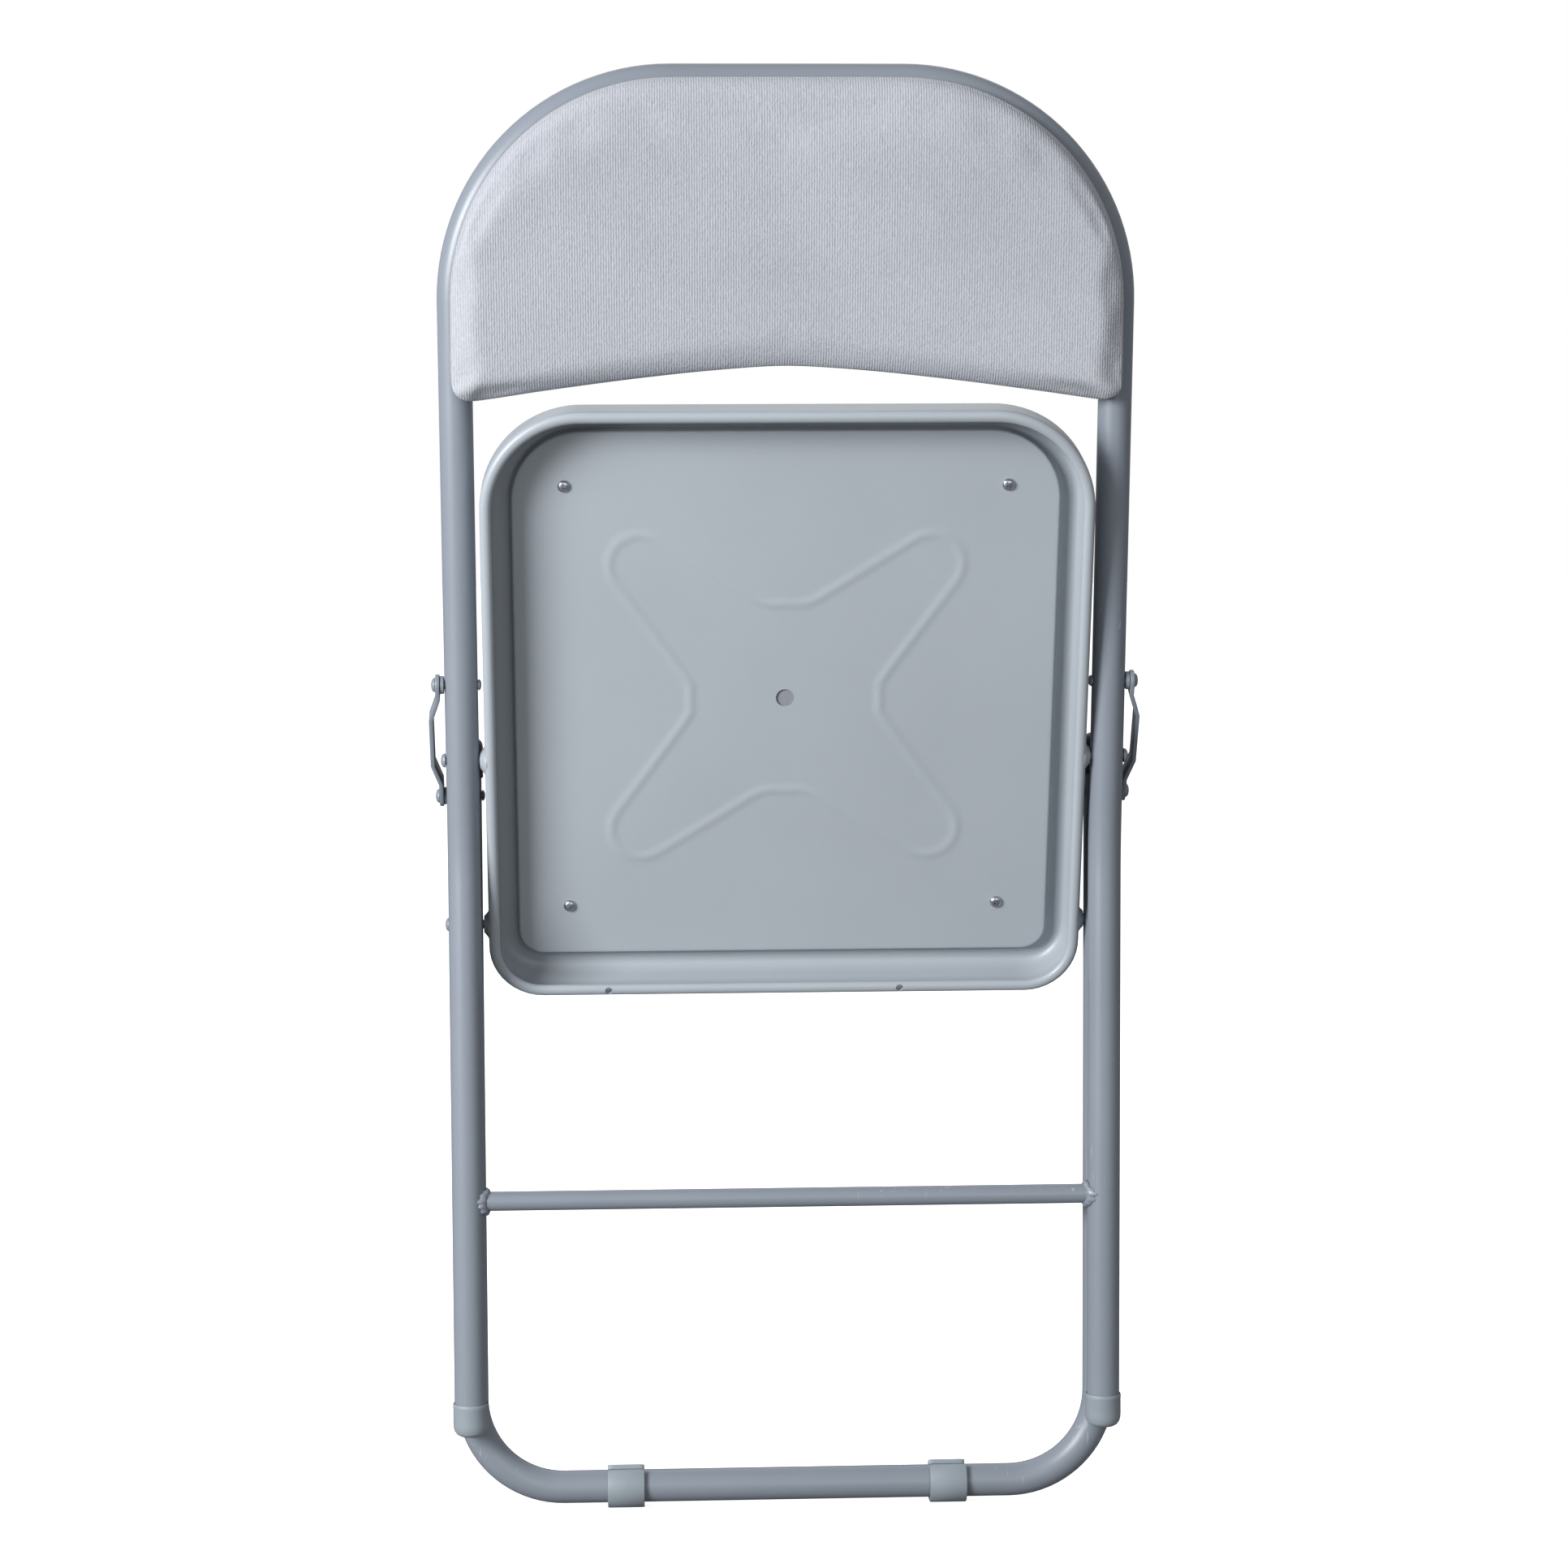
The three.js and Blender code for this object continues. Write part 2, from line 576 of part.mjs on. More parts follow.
for (const { name, sign } of SIDES) {
  const { y, z } = linkPivot;
  part(`front_foot_${name}`, frontFoot(sign), footPlastic());
  part(`rear_foot_${name}`, rearFoot(sign), footPlastic());
  part(`rear_cap_${name}`, rearCap(sign), capPlastic());
  const seatRivet = rivet(sign, panInside, tubeOutside, seatPivot.y, seatPivot.z);
  const rearRivet = rivet(sign, panInside, tubeOutside, REAR_LEG_Y, SEAT_REAR_PIVOT_Z);
  part(`seat_pivot_rivet_${name}`, seatRivet, paint());
  part(`rear_pivot_rivet_${name}`, rearRivet, paint());
  part(`link_${name}`, link(sign), paint());
  part(`link_upper_spacer_${name}`, ringSpacer(sign, OUTER_FACE + GAP, y, z), paint());
  part(`link_lower_spacer_${name}`, ringSpacer(sign, LINK_CLEAR, REAR_LEG_Y, LINK_LOWER_PIVOT_Z), paint());
  part(`link_upper_rivet_${name}`, rivet(sign, tubeInside, linkOutside, y, z), paint());
  part(`link_lower_rivet_${name}`, linkRivetHead(sign), paint());
  part(`rear_link_rivet_tail_${name}`, linkRivetTail(sign), paint());
}

export default chair;
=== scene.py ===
import json
import math

import bmesh
import bpy
from mathutils import Matrix, Vector, noise


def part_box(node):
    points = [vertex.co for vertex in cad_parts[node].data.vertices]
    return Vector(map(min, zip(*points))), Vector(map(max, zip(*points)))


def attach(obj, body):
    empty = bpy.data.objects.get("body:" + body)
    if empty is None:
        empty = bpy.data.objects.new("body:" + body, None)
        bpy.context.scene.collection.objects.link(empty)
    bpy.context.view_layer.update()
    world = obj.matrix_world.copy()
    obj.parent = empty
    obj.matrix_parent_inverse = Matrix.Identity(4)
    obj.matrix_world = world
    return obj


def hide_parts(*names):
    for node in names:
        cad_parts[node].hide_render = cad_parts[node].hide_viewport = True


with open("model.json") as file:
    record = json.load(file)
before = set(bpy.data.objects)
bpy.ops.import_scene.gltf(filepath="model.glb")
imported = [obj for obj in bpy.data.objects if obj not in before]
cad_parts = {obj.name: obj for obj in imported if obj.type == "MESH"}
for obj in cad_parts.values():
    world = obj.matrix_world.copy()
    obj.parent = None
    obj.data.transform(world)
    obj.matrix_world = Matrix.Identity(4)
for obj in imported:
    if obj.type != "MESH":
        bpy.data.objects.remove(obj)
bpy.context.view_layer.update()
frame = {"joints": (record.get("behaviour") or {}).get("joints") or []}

# ---- Studio --------------------------------------------------------------------------------
# A white floor and plain soft light: a large softbox and a dim one in front, a dim one behind,
# and a white surround. The camera looks slightly down and to the right.

CAMERA_PLACE = (-0.105, -2.298, 0.677)
CAMERA_YAW = math.radians(2.58)
CAMERA_PITCH = math.radians(4.48)
CAMERA_ROLL = math.radians(-0.27)
CAMERA_LENS = 79.83

eye = bpy.data.objects.new("camera", bpy.data.cameras.new("camera"))
eye.data.lens = CAMERA_LENS
eye.data.sensor_width = 36
turn = Matrix.Rotation(-CAMERA_YAW, 4, "Z") @ Matrix.Rotation(math.pi / 2 - CAMERA_PITCH, 4, "X")
eye.matrix_world = Matrix.Translation(CAMERA_PLACE) @ turn @ Matrix.Rotation(CAMERA_ROLL, 4, "Z")
bpy.context.scene.collection.objects.link(eye)
bpy.context.scene.camera = eye
bpy.context.scene.view_settings.view_transform = "Standard"

SOFTBOXES = [
    # name, place, aim, width, height, watts
    ("softbox_key", (-2.1, -1.95, 1.25), (0, 0, 0.5), 1.2, 1.2, 132),
    ("softbox_fill", (0.7, -3.2, 0.7), (0, 0, 0.5), 1.8, 1.8, 14),
    ("softbox_back", (0.3, 2.6, 2.4), (0, 0, 0.5), 2.4, 1.6, 10),
]
for name, place, aim, width, height, watts in SOFTBOXES:
    box_light = bpy.data.lights.new(name, "AREA")
    box_light.shape = "RECTANGLE"
    box_light.size = width
    box_light.size_y = height
    box_light.energy = watts
    lamp = bpy.data.objects.new(name, box_light)
    facing = (Vector(aim) - Vector(place)).to_track_quat("-Z", "Y")
    lamp.matrix_world = Matrix.Translation(place) @ facing.to_matrix().to_4x4()
    bpy.context.scene.collection.objects.link(lamp)

SURROUND_LIGHT = 0.45


def set_up(node, settings):
    """Sets a node's own settings, and its inputs by name."""
    for key, value in settings.items():
        if hasattr(node, key):
            setattr(node, key, value)
        else:
            node.inputs[key.replace("_", " ")].default_value = value
    return node


def value_node(tree, kind, **settings):
    """A new shader node, set up."""
    return set_up(tree.nodes.new(kind), settings)


def wire(source, leaving, target, entering):
    """Links an output of one node to an input of another."""
    source.id_data.links.new(source.outputs[leaving], target.inputs[entering])


def new_surface(name, **settings):
    """A material, its nodes, and its Principled shader, set up."""
    material = bpy.data.materials.new(name)
    material.use_nodes = True
    tree = material.node_tree
    return material, tree, set_up(tree.nodes["Principled BSDF"], settings)


def loose_object(name, bm, material=None):
    """Turns a bmesh into an object of the scene."""
    mesh = bpy.data.meshes.new(name)
    bm.to_mesh(mesh)
    bm.free()
    if material:
        mesh.materials.append(material)
    made = bpy.data.objects.new(name, mesh)
    bpy.context.scene.collection.objects.link(made)
    return made


surround = bpy.data.worlds.new("surround")
surround.use_nodes = True
bpy.context.scene.world = surround
sky_tree = surround.node_tree
sky_tree.nodes.clear()
seen = value_node(sky_tree, "ShaderNodeBackground", Color=(1, 1, 1, 1))
lit = value_node(sky_tree, "ShaderNodeBackground", Color=(0.97, 0.985, 1, 1), Strength=SURROUND_LIGHT)
path = value_node(sky_tree, "ShaderNodeLightPath")
choose = value_node(sky_tree, "ShaderNodeMixShader")
sky = value_node(sky_tree, "ShaderNodeOutputWorld")
wire(path, "Is Camera Ray", choose, "Fac")
wire(lit, "Background", choose, 1)
wire(seen, "Background", choose, 2)
wire(choose, "Shader", sky, "Surface")

FLOOR_SIZE = 30

floor_bm = bmesh.new()
bmesh.ops.create_grid(floor_bm, x_segments=1, y_segments=1, size=FLOOR_SIZE)
white_floor, floor_tree, floor_shader = new_surface(
    "white_floor", Base_Color=(0.9, 0.9, 0.9, 1), Roughness=0.9, Specular_IOR_Level=0.1,
    Emission_Color=(1, 1, 1, 1), Emission_Strength=0.85,
)
dull_floor = value_node(floor_tree, "ShaderNodeBsdfDiffuse", Color=(0.22, 0.22, 0.22, 1))
floor_path = value_node(floor_tree, "ShaderNodeLightPath")
floor_choice = value_node(floor_tree, "ShaderNodeMixShader")
wire(floor_path, "Is Camera Ray", floor_choice, "Fac")
wire(dull_floor, "BSDF", floor_choice, 1)
wire(floor_shader, "BSDF", floor_choice, 2)
wire(floor_choice, "Shader", floor_tree.nodes["Material Output"], "Surface")
floor = loose_object("floor", floor_bm, white_floor)

# ---- Front frame ---------------------------------------------------------------------------
# One length of 22 mm steel tube: two long straight legs that lean back above a soft bend and
# are bent to a hoop behind the backrest. It is powder coated in satin blue-grey.

TUBE_R = 0.011
TUBE_WALL = 0.001
LEAN = math.radians(8.5)
BEND_Z = 0.453
BEND_R = 0.3
HOOP_R = 0.139
BACK_BOW = 0.012
GAP = 0.0003

tube_low, tube_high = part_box("front_frame_tube")
FRAME_HALF = tube_high.x - TUBE_R
LEG_Y = tube_high.y - TUBE_R
back_plane = Matrix.Translation((0, LEG_Y, BEND_Z)) @ Matrix.Rotation(LEAN, 4, "X")


def bow(x):
    """How far back the hoop is bowed at x."""
    return BACK_BOW * (1 - min(1, (x / FRAME_HALF) ** 2))


def on_back(x, s, forward=0.0):
    """A point of the leaning plane, s up along it and forward of its tube's middle."""
    return back_plane @ Vector((x, bow(x) - forward, s))


HOOP_TOP = 0.502


def new_group(name, inputs, outputs):
    """A shader node group with named sockets: (name, type, value) in, (name, type) out."""
    tree = bpy.data.node_groups.new(name, "ShaderNodeTree")
    for label, kind, value in inputs:
        socket = tree.interface.new_socket(label, in_out="INPUT", socket_type=kind)
        socket.default_value = value
    for label, kind in outputs:
        tree.interface.new_socket(label, in_out="OUTPUT", socket_type=kind)
    return tree, tree.nodes.new("NodeGroupInput"), tree.nodes.new("NodeGroupOutput")


def coat_marks_group():
    """A sprayed coat: faint cloudiness, orange peel and a few vertical scuffs."""
    tree, given, out = new_group(
        "coat_marks",
        [("Color", "NodeSocketColor", (0.3, 0.33, 0.36, 1)),
         ("Roughness", "NodeSocketFloat", 0.4),
         ("Scuffs", "NodeSocketFloat", 0.5)],
        [("Color", "NodeSocketColor"), ("Roughness", "NodeSocketFloat"),
         ("Height", "NodeSocketFloat")],
    )
    where = tree.nodes.new("ShaderNodeTexCoord")
    cloud = value_node(tree, "ShaderNodeTexNoise", Scale=9.0, Detail=3.0)
    wire(where, "Object", cloud, "Vector")
    peel = value_node(tree, "ShaderNodeTexNoise", Scale=950.0, Detail=2.0)
    wire(where, "Object", peel, "Vector")
    stretch = value_node(tree, "ShaderNodeMapping", Scale=(520.0, 520.0, 34.0))
    wire(where, "Object", stretch, "Vector")
    streak = value_node(tree, "ShaderNodeTexNoise", Scale=1.0, Detail=1.0)
    wire(stretch, "Vector", streak, "Vector")
    patch = value_node(tree, "ShaderNodeTexNoise", Scale=11.0, Detail=1.0)
    wire(where, "Object", patch, "Vector")
    streak_cut = value_node(tree, "ShaderNodeMapRange", From_Min=0.68, From_Max=0.74)
    wire(streak, "Fac", streak_cut, "Value")
    patch_cut = value_node(tree, "ShaderNodeMapRange", From_Min=0.6, From_Max=0.68)
    wire(patch, "Fac", patch_cut, "Value")
    scuff = value_node(tree, "ShaderNodeMath", operation="MULTIPLY")
    wire(streak_cut, "Result", scuff, 0)
    wire(patch_cut, "Result", scuff, 1)
    scuff_share = value_node(tree, "ShaderNodeMath", operation="MULTIPLY", use_clamp=True)
    wire(scuff, "Value", scuff_share, 0)
    wire(given, "Scuffs", scuff_share, 1)
    shade = value_node(tree, "ShaderNodeMapRange", To_Min=0.94, To_Max=1.06)
    wire(cloud, "Fac", shade, "Value")
    clouded = value_node(tree, "ShaderNodeMix", data_type="RGBA", blend_type="MULTIPLY", Factor=1.0)
    wire(given, "Color", clouded, "A")
    wire(shade, "Result", clouded, "B")
    marked = value_node(tree, "ShaderNodeMix", data_type="RGBA", B=(0.62, 0.64, 0.66, 1))
    wire(scuff_share, "Value", marked, "Factor")
    wire(clouded, "Result", marked, "A")
    wire(marked, "Result", out, "Color")
    rough = value_node(tree, "ShaderNodeMath", operation="MULTIPLY_ADD")
    rough.inputs[1].default_value = 0.14
    wire(cloud, "Fac", rough, 0)
    wire(given, "Roughness", rough, 2)
    wire(rough, "Value", out, "Roughness")
    wire(peel, "Fac", out, "Height")
    return tree


coat_marks = coat_marks_group()


def painted(name, color, roughness, scuffs, peel, specular=0.5):
    """A powder-coated steel surface."""
    material, tree, shader = new_surface(name, Metallic=0.0, Specular_IOR_Level=specular)
    marks = value_node(tree, "ShaderNodeGroup", node_tree=coat_marks, Color=color,
                       Roughness=roughness, Scuffs=scuffs)
    bump = value_node(tree, "ShaderNodeBump", Strength=peel, Distance=0.0004)
    wire(marks, "Height", bump, "Height")
    wire(marks, "Color", shader, "Base Color")
    wire(marks, "Roughness", shader, "Roughness")
    wire(bump, "Normal", shader, "Normal")
    return material


frame_paint = painted("frame_paint", (0.19, 0.215, 0.252, 1), 0.3, 0.3, 0.12)


def finish_piece(name, bm, body, material, nodes, sharp=38):
    """Makes the piece from its bmesh and gives it its body, finish and the nodes it stands for."""
    bmesh.ops.remove_doubles(bm, verts=bm.verts, dist=1e-6)
    bmesh.ops.recalc_face_normals(bm, faces=bm.faces)
    for edge in bm.edges:
        edge.smooth = len(edge.link_faces) != 2 or edge.calc_face_angle() < math.radians(sharp)
    for face in bm.faces:
        face.smooth = True
    piece = loose_object(name, bm, material)
    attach(piece, body)
    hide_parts(*nodes)
    return piece


def ring_place(route, index):
    """The place of a ring on a route, square to it, with its own Y kept towards the back."""
    before = route[max(index - 1, 0)]
    after = route[min(index + 1, len(route) - 1)]
    along = (after - before).normalized()
    back = (Vector((0, 1, 0)) - along * along.y).normalized()
    side = back.cross(along)
    turned_to = Matrix((side, back, along)).transposed().to_4x4()
    return Matrix.Translation(route[index]) @ turned_to


MOUTH_DEPTH = 0.012


def verts_of(geom):
    """The vertices among the geometry that an operator gives back."""
    return [part for part in geom if isinstance(part, bmesh.types.BMVert)]


def ring_edges(ring):
    """The edges that join the ring's own vertices."""
    return list({e for v in ring for e in v.link_edges if all(w in ring for w in e.verts)})


def tube_along(bm, route, radius, wall, sides=40):
    """Extrudes a round tube along the route, with an open mouth at each end."""
    ring = bmesh.ops.create_circle(bm, segments=sides, radius=radius)["verts"]
    bmesh.ops.transform(bm, matrix=ring_place(route, 0), verts=ring)
    for index in range(1, len(route)):
        edges = ring_edges(ring)
        if index == 1:
            first = edges
        grown = bmesh.ops.extrude_edge_only(bm, edges=edges)["geom"]
        ring = verts_of(grown)
        step = ring_place(route, index) @ ring_place(route, index - 1).inverted()
        bmesh.ops.transform(bm, matrix=step, verts=ring)
    for edges, inward in ((first, route[1] - route[0]), (ring_edges(ring), route[-2] - route[-1])):
        mouth = bmesh.ops.contextual_create(bm, geom=edges)["faces"]
        bmesh.ops.inset_region(bm, faces=mouth, thickness=wall)
        sunk = bmesh.ops.extrude_face_region(bm, geom=mouth)["geom"]
        bmesh.ops.delete(bm, geom=mouth, context="FACES_KEEP_BOUNDARY")
        bmesh.ops.translate(bm, vec=inward.normalized() * MOUTH_DEPTH, verts=verts_of(sunk))


LEG_STEPS = 6
BEND_STEPS = 8
HOOP_STEPS = 30
TOP_STEPS = 12

bend_start = BEND_Z - BEND_R * math.tan(LEAN / 2)
half_route = []
for i in range(LEG_STEPS):
    rise = tube_low.z + (bend_start - tube_low.z) * i / LEG_STEPS
    half_route.append(Vector((-FRAME_HALF, LEG_Y, rise)))
for i in range(BEND_STEPS + 1):
    angle = LEAN * i / BEND_STEPS
    bend_y = LEG_Y + BEND_R * (math.cos(angle) - 1)
    half_route.append(Vector((-FRAME_HALF, bend_y, bend_start + BEND_R * math.sin(angle))))
for i in range(1, 4):
    s = 0.06 + (HOOP_TOP - HOOP_R - 0.06) * i / 4
    half_route.append(on_back(-FRAME_HALF, s))
for i in range(HOOP_STEPS + 1):
    angle = math.pi / 2 * i / HOOP_STEPS
    x = -(FRAME_HALF - HOOP_R) - HOOP_R * math.cos(angle)
    half_route.append(on_back(x, HOOP_TOP - HOOP_R + HOOP_R * math.sin(angle)))
for i in range(1, TOP_STEPS):
    half_route.append(on_back(-(FRAME_HALF - HOOP_R) * (1 - i / TOP_STEPS), HOOP_TOP))
across = [Vector((-p.x, p.y, p.z)) for p in reversed(half_route)]

hoop = bmesh.new()
tube_along(hoop, half_route + [on_back(0, HOOP_TOP)] + across, TUBE_R, TUBE_WALL)
finish_piece("front_tube", hoop, "front_frame", frame_paint, ["front_frame_tube"])

# ---- Crossbar ------------------------------------------------------------------------------
# A thin round bar between the front legs, let into a weld bead at each end. The beads are
# lumpy, as hand welding leaves them, and are painted with the frame.

bar_low, bar_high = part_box("front_crossbar")
CROSSBAR_R = 0.0065
CROSSBAR_Z = (bar_low.z + bar_high.z) / 2
WELD_R = 0.0024
WELD_LUMP = 0.0011


def spin_profile(bm, profile, place, sides=36, closed=False):
    """Turns a profile of (radius, height) pairs once round the place's own Z axis."""
    made = [bm.verts.new(place @ Vector((radius, 0, height))) for radius, height in profile]
    pairs = list(zip(made, made[1:]))
    if closed:
        pairs.append((made[-1], made[0]))
    edges = [bm.edges.new(pair) for pair in pairs]
    axis = place.to_3x3() @ Vector((0, 0, 1))
    bmesh.ops.spin(
        bm, geom=made + edges, cent=place.translation, axis=axis, dvec=(0, 0, 0),
        angle=2 * math.pi, steps=sides, use_merge=True, use_duplicate=False,
    )
    bmesh.ops.remove_doubles(bm, verts=bm.verts, dist=1e-6)


def sideways(sign, x, y, z):
    """A place whose Z axis points outward along X on that side."""
    return Matrix.Translation((sign * x, y, z)) @ Matrix.Rotation(sign * math.pi / 2, 4, "Y")


bar = bmesh.new()
bar_half = FRAME_HALF - TUBE_R + 0.002
bar_profile = [(0, -bar_half), (CROSSBAR_R, -bar_half), (CROSSBAR_R, bar_half), (0, bar_half)]
spin_profile(bar, bar_profile, sideways(1, 0, LEG_Y, CROSSBAR_Z), 32)
for sign in (-1, 1):
    weld = bmesh.new()
    middle = sideways(sign, FRAME_HALF - TUBE_R - 0.0012, LEG_Y, CROSSBAR_Z)
    section = [
        (CROSSBAR_R + 0.0002 + WELD_R * math.cos(a), WELD_R * math.sin(a))
        for a in (2 * math.pi * i / 14 for i in range(14))
    ]
    spin_profile(weld, section, middle, 64, closed=True)
    for vert in weld.verts:
        lump = noise.noise(vert.co * 420 + Vector((sign * 7, 0, 0)))
        ripple = 0.35 * math.sin(13 * math.atan2(vert.co.z - CROSSBAR_Z, vert.co.y - LEG_Y))
        out_from = vert.co - Vector((vert.co.x, LEG_Y, CROSSBAR_Z))
        vert.co += out_from.normalized() * WELD_LUMP * (lump + ripple)
        vert.co.x += sign * WELD_LUMP * 0.5 * lump
        # the bead follows the round of the leg that it is laid on
        vert.co.x += sign * (TUBE_R - math.sqrt(max(0, TUBE_R ** 2 - (vert.co.y - LEG_Y) ** 2)))
    weld_mesh = bpy.data.meshes.new("weld")
    weld.to_mesh(weld_mesh)
    weld.free()
    bar.from_mesh(weld_mesh)
    bpy.data.meshes.remove(weld_mesh)
finish_piece("crossbar", bar, "front_frame", frame_paint, ["front_crossbar"])

# ---- Front feet ----------------------------------------------------------------------------
# Soft grey plastic caps pushed over the ends of the front legs, with a thin lip at the mouth
# and a rounded tread.


def toned(color, share):
    """The colour, darker or lighter by a share."""
    return tuple(share * part for part in color[:3]) + (1,)


def moulded(name, color, roughness, grain):
    """Injection-moulded plastic with a fine spark-eroded grain."""
    material, tree, shader = new_surface(name, Specular_IOR_Level=0.4)
    where = tree.nodes.new("ShaderNodeTexCoord")
    fine = value_node(tree, "ShaderNodeTexNoise", Scale=1900.0, Detail=2.0)
    broad = value_node(tree, "ShaderNodeTexNoise", Scale=60.0, Detail=3.0)
    tone = value_node(tree, "ShaderNodeMix", data_type="RGBA", A=toned(color, 0.9), B=toned(color, 1.1))
    gloss = value_node(tree, "ShaderNodeMapRange", To_Min=roughness - 0.07, To_Max=roughness + 0.07)
    bump = value_node(tree, "ShaderNodeBump", Strength=grain, Distance=0.0002)
    for texture in (fine, broad):
        wire(where, "Object", texture, "Vector")
    wire(broad, "Fac", tone, "Factor")
    wire(tone, "Result", shader, "Base Color")
    wire(broad, "Fac", gloss, "Value")
    wire(gloss, "Result", shader, "Roughness")
    wire(fine, "Fac", bump, "Height")
    wire(bump, "Normal", shader, "Normal")
    return material


foot_plastic = moulded("foot_plastic", (0.225, 0.26, 0.29, 1), 0.5, 0.25)

for side in ("left", "right"):
    low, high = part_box("front_foot_" + side)
    tread = Matrix.Translation(((low.x + high.x) / 2, LEG_Y, low.z))
    outer = (high.x - low.x) / 2
    height = high.z - low.z
    mouth_r = TUBE_R + GAP
    cap = bmesh.new()
    cap_profile = [
        (0, 0), (0.0055, 0), (0.0078, 0.0004), (0.0098, 0.0016), (0.0112, 0.0036), (0.0119, 0.0062),
        (0.01205, 0.009), (outer - 0.0001, height - 0.0032), (outer, height - 0.0028),
        (outer, height - 0.0006), (outer - 0.0004, height), (mouth_r + 0.0002, height),
        (mouth_r, height - 0.0004), (mouth_r, 0.0037), (0, 0.0037),
    ]
    spin_profile(cap, cap_profile, tread, 48)
    finish_piece("foot_cap_" + side, cap, "front_frame", foot_plastic,
                 ["front_foot_" + side])

# ---- Backrest ------------------------------------------------------------------------------
# A thin plywood board across the front of the hoop, under foam that is wrapped in a short
# ribbed velvet. The cloth is pulled round the edge and held behind, so the pad is flat and
# taut with a soft round edge.

BACK_HALF = 0.217
BACK_TOP = 0.5063
BACK_CORNER_R = 0.142
BACK_BOTTOM = 0.2974
BACK_ARCH = 0.024
BACK_ARCH_POWER = 1.35
BACK_FOOT_R = 0.016
BOARD_BACK = 0.0113
BOARD_FRONT = 0.016
PAD_BACK = 0.0163
PAD_FRONT = 0.033


def back_outline(x, inset):
    """The lowest and highest height of the backrest at x, drawn in by inset."""
    corner = max(0, abs(x) - (BACK_HALF - BACK_CORNER_R))
    foot = max(0, abs(x) - (BACK_HALF - BACK_FOOT_R))
    top = BACK_TOP - BACK_CORNER_R + math.sqrt(max(0, (BACK_CORNER_R - inset) ** 2 - corner ** 2))
    rounding = BACK_FOOT_R - math.sqrt(max(0, (BACK_FOOT_R - inset) ** 2 - foot ** 2))
    arch = BACK_ARCH * (1 - abs(x / BACK_HALF) ** BACK_ARCH_POWER)
    return BACK_BOTTOM + arch + rounding, top


def back_sheet(bm, inset, forward, across, up):
    """A grid over the backrest's outline, on the bowed back plane, forward of the tube."""
    grid = bmesh.ops.create_grid(bm, x_segments=across, y_segments=up, size=1)["verts"]
    for vert in grid:
        x = (BACK_HALF - inset) * math.sin(vert.co.x * math.pi / 2)
        low, top = back_outline(x, inset)
        s = low + (top - low) * (0.5 + 0.5 * math.sin(vert.co.y * math.pi / 2))
        vert.co = on_back(x, s, forward)
    return grid


def thicken(bm, step):
    """Extrudes all the sheet's faces by the step, as the other side of a closed body."""
    grown = bmesh.ops.extrude_face_region(bm, geom=bm.faces[:])["geom"]
    bmesh.ops.translate(bm, vec=step, verts=verts_of(grown))
    bmesh.ops.recalc_face_normals(bm, faces=bm.faces)


def pile_group():
    """Short velvet pile: fine upright ribs of tufts, and broad patches brushed the other way. Its low
    places are painted darker and its high ones lighter, as painted shade and light.
    """
    tree, given, out = new_group(
        "pile",
        [("Color", "NodeSocketColor", (0.5, 0.52, 0.56, 1)),
         ("Brushed", "NodeSocketColor", (0.36, 0.38, 0.44, 1)),
         ("Rib", "NodeSocketFloat", 1.0)],
        [("Color", "NodeSocketColor"), ("Height", "NodeSocketFloat")],
    )
    where = tree.nodes.new("ShaderNodeTexCoord")
    tufts = value_node(tree, "ShaderNodeMapping", Scale=(760.0, 420.0, 420.0))
    wire(where, "Object", tufts, "Vector")
    tuft = value_node(tree, "ShaderNodeTexNoise", Scale=1.0, Detail=2.0, Roughness=0.6)
    wire(tufts, "Vector", tuft, "Vector")
    rib = value_node(tree, "ShaderNodeTexWave", Scale=190.0, Distortion=1.6, Detail=2.0, Detail_Scale=3.0)
    rib.bands_direction = "X"
    wire(where, "Object", rib, "Vector")
    both = value_node(tree, "ShaderNodeMath", operation="MULTIPLY_ADD")
    both.inputs[1].default_value = 0.45
    wire(rib, "Fac", both, 0)
    wire(tuft, "Fac", both, 2)
    wire(both, "Value", out, "Height")
    broad = value_node(tree, "ShaderNodeTexNoise", Scale=6.5, Detail=4.0, Roughness=0.62)
    wire(where, "Object", broad, "Vector")
    patch = value_node(tree, "ShaderNodeMapRange", From_Min=0.5, From_Max=0.74)
    wire(broad, "Fac", patch, "Value")
    brushed = value_node(tree, "ShaderNodeMix", data_type="RGBA")
    wire(patch, "Result", brushed, "Factor")
    wire(given, "Color", brushed, "A")
    wire(given, "Brushed", brushed, "B")
    # painted shade and light: the pile's colour is darker where ribs and tufts are low and lighter where
    # they stand high
    depth = value_node(tree, "ShaderNodeMapRange", From_Min=0.3, From_Max=1.1, To_Min=0.8, To_Max=1.14)
    wire(both, "Value", depth, "Value")
    shaded = value_node(tree, "ShaderNodeMix", data_type="RGBA", blend_type="MULTIPLY")
    wire(given, "Rib", shaded, "Factor")
    wire(brushed, "Result", shaded, "A")
    wire(depth, "Result", shaded, "B")
    wire(shaded, "Result", out, "Color")
    return tree


pile = pile_group()


def velvet_cloth(name, color, brushed):
    """Velvet: the pile's colour and height, and a pale sheen at grazing angles."""
    material, tree, shader = new_surface(
        name, Roughness=0.95, Specular_IOR_Level=0.12, Sheen_Weight=0.35, Sheen_Roughness=0.4,
        Sheen_Tint=(0.92, 0.94, 1, 1),
    )
    cloth = value_node(tree, "ShaderNodeGroup", node_tree=pile, Color=color, Brushed=brushed, Rib=1.0)
    bump = value_node(tree, "ShaderNodeBump", Strength=0.55, Distance=0.0007)
    wire(cloth, "Height", bump, "Height")
    wire(cloth, "Color", shader, "Base Color")
    wire(bump, "Normal", shader, "Normal")
    return material


velvet = velvet_cloth("velvet", (0.37, 0.385, 0.422, 1), (0.335, 0.35, 0.39, 1))


